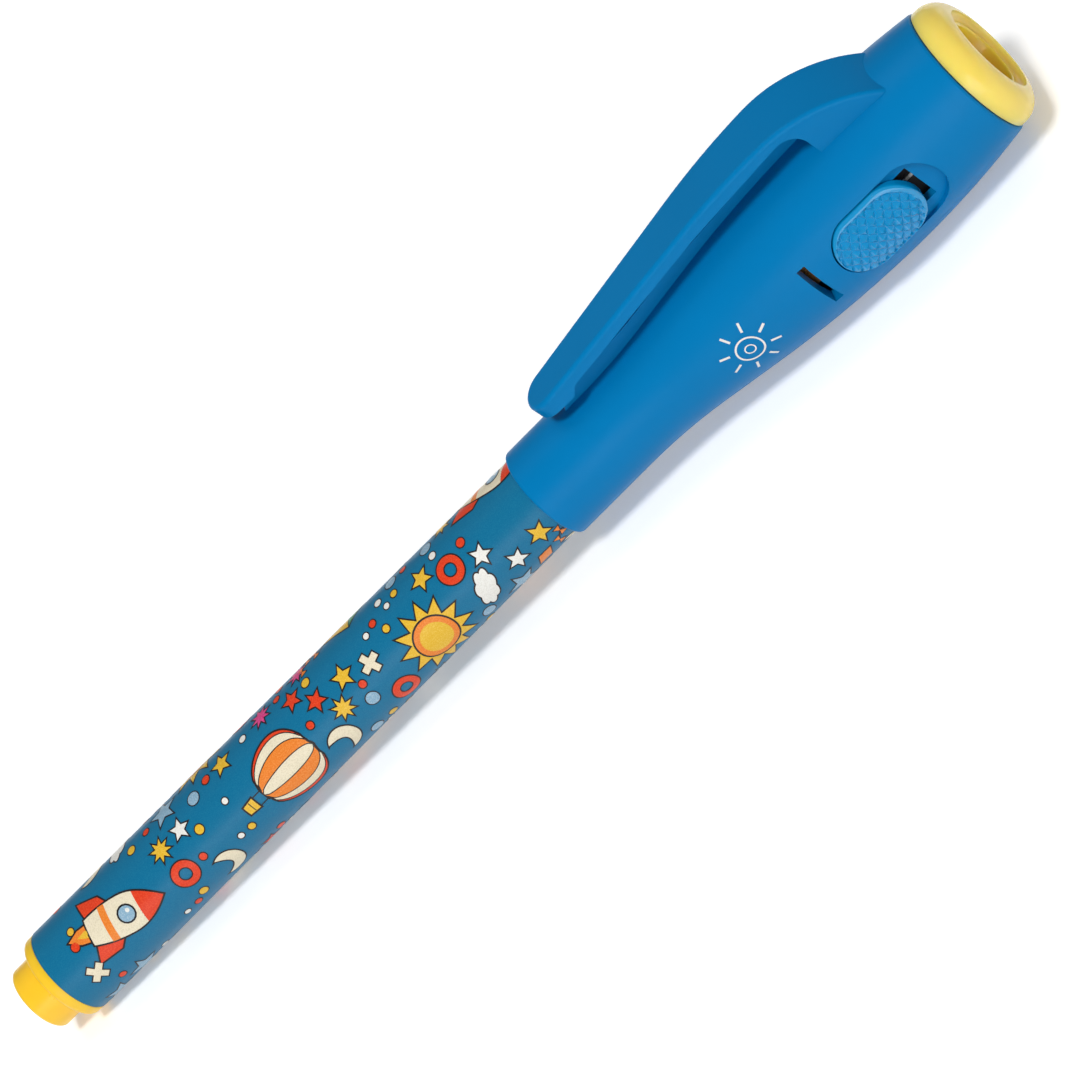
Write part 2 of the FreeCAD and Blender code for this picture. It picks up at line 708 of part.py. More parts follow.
def clip_plan_sketch(body):
    """Plan of what is cut away beside the clip: a frame whose inside is the arm, narrow at its tip."""
    sketch = new_sketch(body, "clip_plan", "XY_Plane")
    tip_half = S["clip_tip_width"] / 2
    root_half = S["clip_root_width"] / 2
    nose_x = clip_tip + tip_half
    margin = S["tool_margin"]
    frame_half = root_half + margin
    add_outline(sketch, rectangle(clip_tip - margin, cap_end + margin, -frame_half, frame_half))

    first = sketch.GeometryCount
    corners = [
        (nose_x, -tip_half),
        (clip_web, -root_half),
        (cap_end, -root_half),
        (cap_end, root_half),
        (clip_web, root_half),
        (nose_x, tip_half),
    ]
    for number, corner in enumerate(corners[:-1]):
        sketch.addGeometry(Part.LineSegment(vector(*corner), vector(*corners[number + 1])), False)
    low = vector(*corners[0])
    high = vector(*corners[-1])
    nose_circle = Part.Circle((high + low) / 2, FreeCAD.Vector(0, 0, 1), tip_half.value)
    nose = sketch.addGeometry(Part.ArcOfCircle(nose_circle, math.pi / 2, 3 * math.pi / 2), False)
    for number in range(4):
        joint = (first + number, 2, first + number + 1, 1)
        sketch.addConstraint(Sketcher.Constraint("Coincident", *joint))
    sketch.addConstraint(Sketcher.Constraint("Coincident", first + 4, 2, nose, 1))
    sketch.addConstraint(Sketcher.Constraint("Coincident", nose, 2, first, 1))
    for number, corner in enumerate(corners[:-1]):
        pin_point(sketch, first + number, 1, *corner)
    pin_point(sketch, first + 4, 2, *corners[-1])
    add_bound(sketch, "DistanceX", -1, 1, nose, 3, size=nose_x)
    return sketch


def make_cap_shell():
    """Swelling cap: clip, rail under the clip, nib and battery chambers, switch well and tab slot."""
    body = new_body("cap_shell")

    arm = extrude(body, "clip_arm", clip_side_sketch(body), S["clip_root_width"], symmetric=True)
    plan = clip_plan_sketch(body)
    past_clip = (clip_bend_height + outside) * 2
    trimmed = extrude(body, "clip_sides", plan, past_clip, symmetric=True, cut=True)

    def in_web_corner(edge):
        """Whether the edge is the inside corner of arm and web."""
        box = edge.BoundBox
        upright = is_near(box.XMin, clip_web) and is_near(box.XMax, clip_web)
        return upright and is_near(box.ZMin, clip_web_top) and is_near(box.ZMax, clip_web_top)

    web = fillet(body, "clip_web_round", trimmed, S["clip_web_round"], in_web_corner)
    on_outer_face = rim_test(web, FreeCAD.Vector(0, 0, 1))

    def on_clip_rim(edge):
        """Whether the edge bounds the clip's outer face, but for its end inside the cap."""
        return on_outer_face(edge) and not is_near(edge.BoundBox.ZMax, clip_root_height)

    fillet(body, "clip_rim", web, S["clip_top_round"], on_clip_rim)

    rise = belly_radius - neck_radius
    flare = [
        (mouth + S["neck_length"], neck_radius),
        (mouth + S["flare_start"], neck_radius + rise * S["flare_start_share"]),
        (mouth + S["flare_end"], neck_radius + rise * S["flare_end_share"]),
    ]
    outer = [
        (mouth, ZERO),
        (mouth, neck_radius),
        *flare,
        (belly, belly_radius),
        (cap_end, head_radius),
        (cap_end, ZERO),
    ]
    swells = {2: ("x", mouth + S["neck_length"]), 4: ("x", belly), 5: ("x", belly)}
    skin = revolve(body, "outer_skin", outer, swells)
    ends = fillet(body, "mouth_edge", skin, S["mouth_round"],
                  lambda edge: is_ring(edge, mouth, neck_radius))
    fillet(body, "head_edge", ends, S["head_round"], lambda edge: is_ring(edge, cap_end, head_radius))

    rail_start = clip_tip + S["rail_offset"]
    rail_sink = cap_bore + S["neck_wall"] / 2
    rail_end = clip_web + S["tool_margin"]
    rail = [
        (rail_start, rail_sink),
        (rail_start + S["rail_height"], neck_radius + S["rail_height"]),
        *[(station, height + S["rail_height"]) for station, height in flare],
        (rail_end, belly_radius + S["rail_height"]),
        (rail_end, rail_sink),
    ]
    rail_sketch = new_sketch(body, "clip_rail_side", "XZ_Plane")
    add_outline(rail_sketch, rail)
    extrude(body, "clip_rail", rail_sketch, S["rail_width"], symmetric=True)

    nib_chamber = [
        (mouth, ZERO),
        (mouth, cap_bore),
        (partition_tail, cap_bore),
        (partition_tail, ZERO),
    ]
    revolve(body, "nib_chamber", nib_chamber, cut=True)
    battery_chamber = [
        (partition_head, ZERO),
        (partition_head, chamber_radius),
        (cap_end, chamber_radius),
        (cap_end, ZERO),
    ]
    revolve(body, "battery_chamber", battery_chamber, cut=True)

    well_half = S["knob_width"] / 2 + S["well_side_gap"]
    well_sketch = new_sketch(body, "well_outline", "XZ_Plane", outside)
    add_stadium(well_sketch, well_start, well_end, well_half)
    extrude(body, "switch_well", well_sketch, outside - well_floor, cut=True)

    window_half = S["stem_width"] / 2 + S["window_gap"]
    window_start = stem_start - S["window_gap"]
    window_end = stem_end + S["switch_travel"] + S["window_gap"]
    window_sketch = new_sketch(body, "window_outline", "XZ_Plane", outside)
    add_outline(window_sketch, rectangle(window_start, window_end, -window_half, window_half))
    extrude(body, "window", window_sketch, outside - carrier_flat, cut=True)

    slot_half = S["tab_slot_length"] / 2
    slot_low = tab_slot - S["tab_slot_width"] / 2
    slot_high = tab_slot + S["tab_slot_width"] / 2
    slot_sketch = new_sketch(body, "tab_slot_outline", "XZ_Plane", outside)
    add_outline(slot_sketch, rectangle(slot_low, slot_high, -slot_half, slot_half))
    extrude(body, "tab_slot", slot_sketch, outside - carrier_flat, cut=True)
    return body


def make_inner_cap():
    """Soft cup that closes over the nib."""
    body = new_body("inner_cap")
    outer = cap_bore - S["press_gap"]
    inner = S["cone_base_radius"] + S["seal_gap"]
    start = cone_start + S["seal_gap"]
    floor = partition_tail - S["inner_cap_floor"]
    corners = [
        (start, inner),
        (start, outer),
        (partition_tail, outer),
        (partition_tail, ZERO),
        (floor, ZERO),
        (floor, inner),
    ]
    revolve(body, "cup", corners)
    return body


def make_bezel_ring():
    """Rolled ring round the light opening, with a funnel inside and a spigot in the cap."""
    body = new_body("bezel_ring")
    seam = cap_end + S["bezel_gap"]
    roll_start = pen_length - S["bezel_roll"]
    radius = head_radius - S["bezel_step"]
    crest_radius = radius - S["bezel_roll"]
    lip = pen_length - S["bezel_dish"]
    spigot_outer = chamber_radius - S["press_gap"]
    spigot_inner = spigot_outer - S["bezel_spigot_wall"]
    spigot_start = cap_end - S["bezel_spigot_length"]
    funnel_start = cap_end - S["bezel_spigot_length"] / 2
    funnel_radius = S["led_radius"] + S["funnel_gap"]
    corners = [
        (spigot_start, spigot_inner),
        (spigot_start, spigot_outer),
        (seam, spigot_outer),
        (seam, radius),
        (roll_start, radius),
        (pen_length, crest_radius),
        (lip, S["opening_radius"]),
        (funnel_start, funnel_radius),
        (funnel_start, spigot_inner),
    ]
    turned = revolve(body, "turned", corners, {4: ("x", roll_start), 5: ("x", pen_length)})
    fillet(body, "lip_round", turned, S["bezel_dish"] / 2,
           lambda edge: is_ring(edge, lip, S["opening_radius"]))
    return body


def make_uv_led():
    """Round lamp with a flange at its base and a domed top."""
    body = new_body("uv_led")
    flange_end = led_base + S["led_flange_thickness"]
    dome_start = led_base + S["led_height"] - S["led_radius"]
    top = led_base + S["led_height"]
    corners = [
        (led_base, ZERO),
        (led_base, S["led_flange_radius"]),
        (flange_end, S["led_flange_radius"]),
        (flange_end, S["led_radius"]),
        (dome_start, S["led_radius"]),
        (top, ZERO),
    ]
    revolve(body, "lens", corners, {4: ("x", dome_start)})
    return body


def make_bent_strip(label, centre_line, thickness, width):
    """Stamped strip, bent in the plane through the axis and the switch."""
    body = new_body(label)
    sketch = new_sketch(body, "bent_line", "XY_Plane")
    add_outline(sketch, strip_outline(centre_line, thickness))
    extrude(body, "strip", sketch, width, symmetric=True)
    return body


def make_led_leads():
    """The lamp's legs: one bent across the last cell, the other out to the switch as its fixed contact."""
    wire = S["lead_thickness"]
    across_cell = stack_end + wire / 2
    anode_line = [
        (led_base, lead_offset),
        (across_cell, lead_offset),
        (across_cell, -lead_offset),
    ]
    anode = make_bent_strip("led_anode_lead", anode_line, wire, wire)
    pad_y = -(carrier_flat + wire / 2)
    cathode_line = [
        (led_base, -lead_offset),
        (lead_bend, -lead_offset),
        (lead_bend, pad_y),
        (bridge_end + S["off_gap"], pad_y),
    ]
    cathode = make_bent_strip("led_cathode_lead", cathode_line, wire, wire)
    return anode, cathode


def make_battery_carrier():
    """Insert with a bore for the cells, a seat for the lamp and a flat for the contact strips."""
    body = new_body("battery_carrier")
    outer = chamber_radius - S["carrier_clearance"]
    seat_radius = S["led_flange_radius"] + S["cell_clearance"]
    corners = [
        (carrier_start, cell_bore),
        (carrier_start, outer),
        (carrier_end, outer),
        (carrier_end, seat_radius),
        (led_base, seat_radius),
        (led_base, S["lead_hole_radius"]),
        (cell_bore_end, S["lead_hole_radius"]),
        (cell_bore_end, cell_bore),
    ]
    revolve(body, "turned", corners)
    flat_start = carrier_start - S["tool_margin"]
    flat_end = carrier_end + S["tool_margin"]
    flat_sketch = new_sketch(body, "flat_outline", "XZ_Plane", outside)
    add_outline(flat_sketch, rectangle(flat_start, flat_end, -outside, outside))
    extrude(body, "strip_flat", flat_sketch, outside - carrier_flat, cut=True)

    room = S["lead_thickness"]
    slot_sketch = new_sketch(body, "lead_slot_outline", "XZ_Plane", outside)
    add_outline(slot_sketch, rectangle(lead_bend - room, led_base, -room, room))
    extrude(body, "lead_slot", slot_sketch, outside - (lead_offset - room), cut=True)
    return body


def make_button_cells():
    """Cells end to end, each a can with a raised lid on its tail side."""
    cells = []
    for number in range(CELL_COUNT):
        body = new_body(f"button_cell_{number + 1}")
        start = stack_start + S["cell_height"] * number
        shoulder = start + S["cell_lid_height"]
        end = start + S["cell_height"]
        corners = [
            (start, ZERO),
            (start, S["cell_lid_radius"]),
            (shoulder, S["cell_lid_radius"]),
            (shoulder, S["cell_radius"]),
            (end, S["cell_radius"]),
            (end, ZERO),
        ]
        revolve(body, "can", corners)
        cells.append(body)
    return cells


def make_tail_contact():
    """One stamped strip: the arm to the switch, the base on the partition and the folded battery spring."""
    half = S["strip_thickness"] / 2
    base_x = partition_head + half
    arm_y = -(carrier_flat + half)
    spring_lift = stack_start - S["strip_thickness"] - base_x
    centre_line = [
        (bridge_start + S["switch_travel"] + S["contact_overlap"], arm_y),
        (base_x, arm_y),
        (base_x, S["spring_fold_height"]),
        (base_x + S["strip_thickness"] * 2, S["spring_fold_height"] + S["strip_thickness"]),
        (base_x + spring_lift, ZERO),
        (base_x + spring_lift - S["strip_thickness"], -(S["spring_fold_height"] / 2)),
    ]
    return make_bent_strip("tail_contact", centre_line, S["strip_thickness"], S["strip_width"])


# --------------------------------------------------------------------------------------------------
# Slide switch
# --------------------------------------------------------------------------------------------------
def make_switch_knob():
    """Oval thumb slide, crowned along and round the pen, with a stem through the window."""
    body = new_body("switch_knob")
    knob_base = well_floor + S["knob_float"]
    knob_sketch = new_sketch(body, "knob_outline", "XZ_Plane", knob_base)
    add_stadium(knob_sketch, knob_start, knob_end, S["knob_width"] / 2)
    extrude(body, "knob_block", knob_sketch, outside - knob_base)

    half_length = S["knob_length"] / 2
    edge_radius = knob_top - S["knob_crown"]
    crown_radius = (half_length * half_length + S["knob_crown"] * S["knob_crown"]) / (S["knob_crown"] * 2)
    far = outside + S["knob_width"] / 2
    corners = [
        (knob_start, edge_radius),
        (knob_end, edge_radius),
        (knob_end, far),
        (knob_start, far),
    ]
    crown = revolve(body, "crown", corners, {0: ("y", knob_top - crown_radius)}, cut=True)
    side_wall = edge_radius.other_side(S["knob_width"] / 2) - knob_base
    on_crown = rim_test(crown, FreeCAD.Vector(0, -1, 0))
    fillet(body, "rim", crown, S["knob_round"].limited_by(side_wall), on_crown)

    stem_half = S["stem_width"] / 2
    stem_sketch = new_sketch(body, "stem_outline", "XZ_Plane", bridge_outer)
    add_outline(stem_sketch, rectangle(stem_start, stem_end, -stem_half, stem_half))
    extrude(body, "stem", stem_sketch, knob_base + S["knob_float"] - bridge_outer)
    return body


def make_switch_contact():
    """Flat bridge held under the stem."""
    body = new_body("switch_contact")
    half = S["bridge_width"] / 2
    sketch = new_sketch(body, "bridge_outline", "XZ_Plane", bridge_inner)
    add_outline(sketch, rectangle(bridge_start, bridge_end, -half, half))
    extrude(body, "bridge", sketch, S["strip_thickness"])
    return body


# --------------------------------------------------------------------------------------------------
# Build, check and write
# --------------------------------------------------------------------------------------------------
def check_document():
    """Stop if any object of the document failed."""
    for item in doc.Objects:
        if "Invalid" in item.State or "Error" in item.State:
            raise RuntimeError(f"{item.Label} failed: {item.State}")


def write_pieces(pieces):
    """Check each piece and write it to its own file."""
    os.makedirs("parts", exist_ok=True)
    for piece in pieces:
        shape = piece.Shape
        if shape.isNull() or not shape.isValid() or len(shape.Solids) != 1:
            raise RuntimeError(f"{piece.Label} isn't one valid solid")
    for piece in pieces:
        piece.Shape.exportStep(f"parts/{piece.Label}.step")
        print(f"{piece.Label}: {piece.Shape.Volume:.1f} mm3")


pen_pieces = [
    make_tail_plug(),
    make_barrel(),
    make_printed_sleeve(),
    make_grip_section(),
    make_nib(),
    *make_ink_reservoir(),
]
cap_pieces = [
    make_cap_shell(),
    make_inner_cap(),
    make_bezel_ring(),
    make_uv_led(),
    *make_led_leads(),
    make_battery_carrier(),
    *make_button_cells(),
    make_tail_contact(),
]
switch_pieces = [
    make_switch_knob(),
    make_switch_contact(),
]

doc.recompute()
check_document()
write_pieces(pen_pieces + cap_pieces + switch_pieces)
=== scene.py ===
"""Looks of the ultraviolet invisible ink pen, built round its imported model.

Lengths are in millimetres, unless a name or a docstring says otherwise, and become metres where a mesh is
made. A station is a place along the pen, measured from its tail end. An angle round the pen starts at the
clip and grows towards the switch. The print's own plane is written with complex numbers: the real part runs
along the pen towards the lamp, and the imaginary part runs round it towards the switch.
"""

import json
import logging
import math
from dataclasses import dataclass
from enum import Enum

import bmesh
import bpy
import numpy as np
from mathutils import Matrix, Vector

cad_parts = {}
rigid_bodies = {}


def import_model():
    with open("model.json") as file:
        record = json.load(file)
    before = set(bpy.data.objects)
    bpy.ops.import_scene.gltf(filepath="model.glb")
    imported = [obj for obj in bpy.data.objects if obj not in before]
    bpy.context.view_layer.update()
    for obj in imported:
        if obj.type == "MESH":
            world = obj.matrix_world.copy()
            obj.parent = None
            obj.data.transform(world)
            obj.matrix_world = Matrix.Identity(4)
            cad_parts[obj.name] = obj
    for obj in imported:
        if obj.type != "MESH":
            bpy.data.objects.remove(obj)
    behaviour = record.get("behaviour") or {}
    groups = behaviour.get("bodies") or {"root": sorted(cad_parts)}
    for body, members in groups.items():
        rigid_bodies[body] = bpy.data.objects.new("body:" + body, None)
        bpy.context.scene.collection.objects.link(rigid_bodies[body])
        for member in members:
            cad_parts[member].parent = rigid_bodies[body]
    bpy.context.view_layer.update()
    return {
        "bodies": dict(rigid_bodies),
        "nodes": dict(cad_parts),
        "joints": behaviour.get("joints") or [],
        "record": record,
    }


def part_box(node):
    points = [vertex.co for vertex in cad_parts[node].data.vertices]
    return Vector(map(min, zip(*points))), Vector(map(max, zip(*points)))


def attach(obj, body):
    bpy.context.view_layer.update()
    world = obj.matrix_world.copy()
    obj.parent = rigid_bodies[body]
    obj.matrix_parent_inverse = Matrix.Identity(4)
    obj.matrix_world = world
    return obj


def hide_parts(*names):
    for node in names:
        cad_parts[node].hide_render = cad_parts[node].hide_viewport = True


LOG = logging.getLogger("uv_pen")

MM = 0.001                  # metres in a millimetre
MERGE = 1e-7                # metres: points nearer than this are one point
MIX_SHARE, MIX_LOW, MIX_HIGH, MIX_RESULT = 0, 6, 7, 2       # a Mix node's sockets, where it mixes colours

Tree = bpy.types.NodeTree
Socket = bpy.types.NodeSocket
Shell = tuple[np.ndarray, np.ndarray]       # places in metres, and faces as point numbers


# ----------------------------------------------------------------------------------------------------------
# Colours and nodes
# ----------------------------------------------------------------------------------------------------------
def linear(hex_colour: str) -> tuple[float, ...]:
    """Turn an sRGB hex colour into linear light.

    A channel up to 0.04045 is divided by 12.92. A higher one has 0.055 added to it, is divided by 1.055, and
    is raised to the power 2.4.

    Args:
        hex_colour: six hex digits after a hash.

    Returns:
        Red, green and blue from 0 to 1, and an alpha of 1.
    """
    coded = np.array([int(hex_colour[i:i + 2], 16) for i in (1, 3, 5)]) / 255
    light = np.where(coded <= 0.04045, coded / 12.92, ((coded + 0.055) / 1.055) ** 2.4)
    return (*light.tolist(), 1.0)


def scale_for(size: float) -> float:
    """The scale at which the features of a noise are about size millimetres wide."""
    return 1 / (size * MM)


def add_node(tree: Tree, kind: str, inputs: dict | None = None, **settings) -> bpy.types.Node:
    """Add one node with its settings, values and links.

    Args:
        tree: the node tree.
        kind: the node's type name.
        inputs: for a socket's name or number, its value, the socket that feeds it, or the node whose first
            output feeds it.
        **settings: properties of the node.

    Returns:
        The node.
    """
    node = tree.nodes.new(kind)
    for name, value in settings.items():
        setattr(node, name, value)
    for name, value in (inputs or {}).items():
        source = value.outputs[0] if isinstance(value, bpy.types.Node) else value
        if isinstance(source, Socket):
            tree.links.new(source, node.inputs[name])
        else:
            node.inputs[name].default_value = source
    return node


def empty_material(name: str) -> tuple[bpy.types.Material, Tree, Socket]:
    """Start a node material.

    Args:
        name: the material's name.

    Returns:
        The material, its tree, and the socket of the place on the object in metres.
    """
    material = bpy.data.materials.new(name)
    material.use_nodes = True
    material.node_tree.nodes.clear()
    place = add_node(material.node_tree, "ShaderNodeTexCoord").outputs["Object"]
    return material, material.node_tree, place


def two_tone(tree: Tree, pattern: bpy.types.Node, edges: tuple[float, float], most: float,
             colours: tuple[str, str]) -> Socket:
    """Mix two colours by a pattern from 0 to 1.

    The share of the second colour is 0 up to the first edge and rises evenly to its most at the second.

    Args:
        tree: the node tree.
        pattern: the node that gives the pattern.
        edges: the pattern's values where the share starts and stops to rise.
        most: the largest share of the second colour.
        colours: the two colours in hex.

    Returns:
        The socket of the mixed colour.
    """
    share = add_node(tree, "ShaderNodeMapRange",
                     {"Value": pattern, "From Min": edges[0], "From Max": edges[1], "To Max": most})
    low, high = (linear(colour) for colour in colours)
    mix = add_node(tree, "ShaderNodeMix", {MIX_SHARE: share, MIX_LOW: low, MIX_HIGH: high}, data_type="RGBA")
    return mix.outputs[MIX_RESULT]


# ----------------------------------------------------------------------------------------------------------
# Finishes
# ----------------------------------------------------------------------------------------------------------
PLASTIC_IOR = 1.5
# One satin varnish covers the film and its inks: a soft, weak shine over both.
VARNISH = {"IOR": PLASTIC_IOR, "Specular IOR Level": 0.2, "Coat Weight": 0.15, "Coat Roughness": 0.22}


class Finish:
    """A finish made with one Principled shader, whose patterns read the place on the object."""

    name: str

    def material(self) -> bpy.types.Material:
        """Build the material.

        Returns:
            The material, named for the finish.
        """
        material, tree, place = empty_material(self.name)
        shader = add_node(tree, "ShaderNodeBsdfPrincipled", self.surface(tree, place))
        add_node(tree, "ShaderNodeOutputMaterial", {"Surface": shader})
        return material

    def surface(self, tree: Tree, place: Socket) -> dict:
        """Work out the shader's inputs; each kind of finish has its own patterns.

        Args:
            tree: the material's node tree.
            place: the socket of the place on the object in metres.

        Returns:
            For each socket's name, its value, or the socket or node that feeds it.
        """
        raise NotImplementedError


@dataclass(frozen=True)
class MouldedPlastic(Finish):
    """Injection-moulded thermoplastic, coloured in the melt.

    Its colour drifts a little where the melt flowed, and the mould's fine texture breaks up its gloss. glow
    is the share of light that enters the plastic and leaves it again within about the glow reach.
    """

    name: str
    colour: str
    drift_colour: str
    roughness: float
    grain: float = 0.16
    grain_depth: float = 0.0012
    flow: float = 24.0
    patch: float = 4.0
    patch_gloss: tuple[float, float] = (-0.03, 0.04)
    glow: float = 0.0
    glow_reach: float = 1.0
    specular: float = 0.5

    def tint(self, tree: Tree, place: Socket) -> Socket:
        """The colour, which drifts along the flow: none of the second up to 0.35 of the noise, all from 0.65.

        Args:
            tree: the material's node tree.
            place: the socket of the place on the object in metres.

        Returns:
            The colour's socket.
        """
        flow = add_node(tree, "ShaderNodeTexNoise", {"Vector": place, "Scale": scale_for(self.flow)})
        return two_tone(tree, flow, (0.35, 0.65), 1.0, (self.colour, self.drift_colour))

    def surface(self, tree: Tree, place: Socket) -> dict:
        """The tint, a gloss that differs from patch to patch, and the grain in relief.

        Args:
            tree: the material's node tree.
            place: the socket of the place on the object in metres.

        Returns:
            The shader's inputs.
        """
        patches = add_node(tree, "ShaderNodeTexNoise",
                           {"Vector": place, "Scale": scale_for(self.patch), "Detail": 4.0})
        gloss = add_node(tree, "ShaderNodeMapRange", {
            "Value": patches, "From Min": 0.3, "From Max": 0.7,
            "To Min": self.roughness + self.patch_gloss[0], "To Max": self.roughness + self.patch_gloss[1],
        })
        grain = add_node(tree, "ShaderNodeTexNoise",
                         {"Vector": place, "Scale": scale_for(self.grain), "Detail": 3.0})
        return {
            "Base Color": self.tint(tree, place),
            "Roughness": gloss,
            "IOR": PLASTIC_IOR,
            "Specular IOR Level": self.specular,
            "Subsurface Weight": self.glow,
            "Subsurface Radius": (1.0, 0.8, 0.5),
            "Subsurface Scale": self.glow_reach * MM,
            "Normal": add_node(tree, "ShaderNodeBump", {"Height": grain, "Distance": self.grain_depth * MM}),
        }


@dataclass(frozen=True)
class GlowPaintedPlastic(MouldedPlastic):
    """Moulded plastic round the pen's axis, with a painted glow near it: a deeper, golden colour there stands in
    for light that passes through the plastic and bounces inside it.
    """

    # The golden colour near the axis is a painted glow, not the plastic's own colour.
    painted_glow_colour: str = "#FFD23C"
    painted_glow_radius: float = 4.5
    painted_glow_blend: float = 0.5

    def tint(self, tree: Tree, place: Socket) -> Socket:
        """The painted glow's colour near the axis and the plastic's own away from it.

        The distance from the axis is the length of the place's part across it. The painted glow's share falls
        from 1 to 0 over a blend to either side of its radius.

        Args:
            tree: the material's node tree.
            place: the socket of the place on the object in metres.

        Returns:
            The colour's socket.
        """
        axis = (0.0, 0.0, PenSpace.from_frame().axis_z * MM)
        from_axis = add_node(tree, "ShaderNodeVectorMath", {0: place, 1: axis}, operation="SUBTRACT")
        across = add_node(tree, "ShaderNodeVectorMath", {0: from_axis, 1: (0.0, 1.0, 1.0)},
                          operation="MULTIPLY")
        away = add_node(tree, "ShaderNodeVectorMath", {0: across}, operation="LENGTH")
        share = add_node(tree, "ShaderNodeMapRange", {
            "Value": away.outputs["Value"], "From Min": (self.painted_glow_radius - self.painted_glow_blend) * MM,
            "From Max": (self.painted_glow_radius + self.painted_glow_blend) * MM, "To Min": 1.0, "To Max": 0.0,
        })
        mix = add_node(tree, "ShaderNodeMix", {
            MIX_SHARE: share, MIX_LOW: super().tint(tree, place), MIX_HIGH: linear(self.painted_glow_colour),
        }, data_type="RGBA")
        return mix.outputs[MIX_RESULT]


@dataclass(frozen=True)
class PrintedFilm(Finish):
    """Film printed in the ground colour and shrunk on the barrel.

    The print's screen gives the ground a fine grain, and the film has faint waves along the barrel. A real
    screen is too fine to show, so it is drawn coarser.
    """

    name: str
    colour: str
    grain_colour: str
    screen: float = 0.11
    wave: float = 1.6
    wave_depth: float = 0.006
    roughness: float = 0.42

    def surface(self, tree: Tree, place: Socket) -> dict:
        """The screen's grain in colour, and waves drawn out along the pen in relief.

        Args:
            tree: the material's node tree.
            place: the socket of the place on the object in metres.

        Returns:
            The shader's inputs.
        """
        grain = add_node(tree, "ShaderNodeTexNoise",
                         {"Vector": place, "Scale": scale_for(self.screen), "Roughness": 0.7})
        stretch = add_node(tree, "ShaderNodeMapping", {"Vector": place, "Scale": (0.08, 1.0, 1.0)})
        waves = add_node(tree, "ShaderNodeTexNoise", {"Vector": stretch, "Scale": scale_for(self.wave)})
        return {
            **VARNISH,
            "Base Color": two_tone(tree, grain, (0.42, 0.68), 0.55, (self.colour, self.grain_colour)),
            "Roughness": self.roughness,
            "Normal": add_node(tree, "ShaderNodeBump", {"Height": waves, "Distance": self.wave_depth * MM}),
        }


class Ink(Enum):
    """The print's inks, each with its colour and the colour of its grain."""

    BLACK = ("#1E1B1C", "#34302F")
    RED = ("#D6381A", "#E35530")
    ORANGE = ("#E27A28", "#EC964A")
    CREAM = ("#E6DCC2", "#D2C6A8")
    GOLD = ("#DDAE2C", "#E8C552")
    MAGENTA = ("#D2347C", "#E36A9F")
    ICE = ("#7FA6BF", "#B0C6D2")
    GREEN = ("#23805A", "#4C9D79")
    WHITE = ("#E8E7E1", "#D6D4CC")


@dataclass(frozen=True)
class PrintInk(Finish):
    """One ink of the print, laid in dots that let its grain colour through, drawn as coarse as the film's."""

    ink: Ink
    screen: float = 0.13
    dot_height: float = 0.0012
    roughness: float = 0.36

    @property
    def name(self) -> str:
        """The material's name."""
        return f"print_ink_{self.ink.name.lower()}"

    def surface(self, tree: Tree, place: Socket) -> dict:
        """The dots in colour and in relief.

        Args:
            tree: the material's node tree.
            place: the socket of the place on the object in metres.

        Returns:
            The shader's inputs.
        """
        spots = {"Vector": place, "Scale": scale_for(self.screen)}
        dots = add_node(tree, "ShaderNodeTexNoise", {**spots, "Roughness": 0.7})
        relief = add_node(tree, "ShaderNodeTexNoise", spots)
        return {
            **VARNISH,
            "Base Color": two_tone(tree, dots, (0.46, 0.62), 0.7, self.ink.value),
            "Roughness": self.roughness,
            "Normal": add_node(tree, "ShaderNodeBump", {"Height": relief, "Distance": self.dot_height * MM}),
        }


@dataclass(frozen=True)
class StripMetal(Finish):
    """Rolled or drawn metal with fine lines along the pen, and faint stains from handling."""

    name: str
    colour: str
    stain_colour: str
    roughness: float
    line: float = 0.05
    line_depth: float = 0.0015
    line_gloss: tuple[float, float] = (-0.06, 0.1)
    stain: float = 2.5

    def surface(self, tree: Tree, place: Socket) -> dict:
        """Stains in colour, and lines drawn out along the pen in gloss and relief.

        Args:
            tree: the material's node tree.
            place: the socket of the place on the object in metres.

        Returns:
            The shader's inputs.
        """
        stretch = add_node(tree, "ShaderNodeMapping", {"Vector": place, "Scale": (0.04, 1.0, 1.0)})
        lines = add_node(tree, "ShaderNodeTexNoise", {"Vector": stretch, "Scale": scale_for(self.line)})
        gloss = add_node(tree, "ShaderNodeMapRange", {
            "Value": lines, "From Min": 0.3, "From Max": 0.7,
            "To Min": self.roughness + self.line_gloss[0], "To Max": self.roughness + self.line_gloss[1],
        })
        stains = add_node(tree, "ShaderNodeTexNoise",
                          {"Vector": place, "Scale": scale_for(self.stain), "Detail": 3.0})
        return {
            "Base Color": two_tone(tree, stains, (0.45, 0.75), 1.0, (self.colour, self.stain_colour)),
            "Metallic": 1.0,
            "Roughness": gloss,
            "Normal": add_node(tree, "ShaderNodeBump", {"Height": lines, "Distance": self.line_depth * MM}),
        }


@dataclass(frozen=True)
class ClearPlastic(Finish):
    """Clear cast epoxy or clear film: light passes through, and the surface is polished."""

    name: str
    colour: str
    roughness: float
    ior: float
    haze: float = 1.2
    haze_rise: float = 0.05

    def surface(self, tree: Tree, place: Socket) -> dict:
        """A clear body whose surface is a little rougher where it is hazy.

        Args:
            tree: the material's node tree.
            place: the socket of the place on the object in metres.

        Returns:
            The shader's inputs.
        """
        haze = add_node(tree, "ShaderNodeTexNoise",
                        {"Vector": place, "Scale": scale_for(self.haze), "Detail": 3.0})
        gloss = add_node(tree, "ShaderNodeMapRange", {
            "Value": haze, "From Min": 0.4, "From Max": 0.7,
            "To Min": self.roughness, "To Max": self.roughness + self.haze_rise,
        })
        return {
            "Base Color": linear(self.colour),
            "Roughness": gloss,
            "IOR": self.ior,
            "Transmission Weight": 1.0,
        }


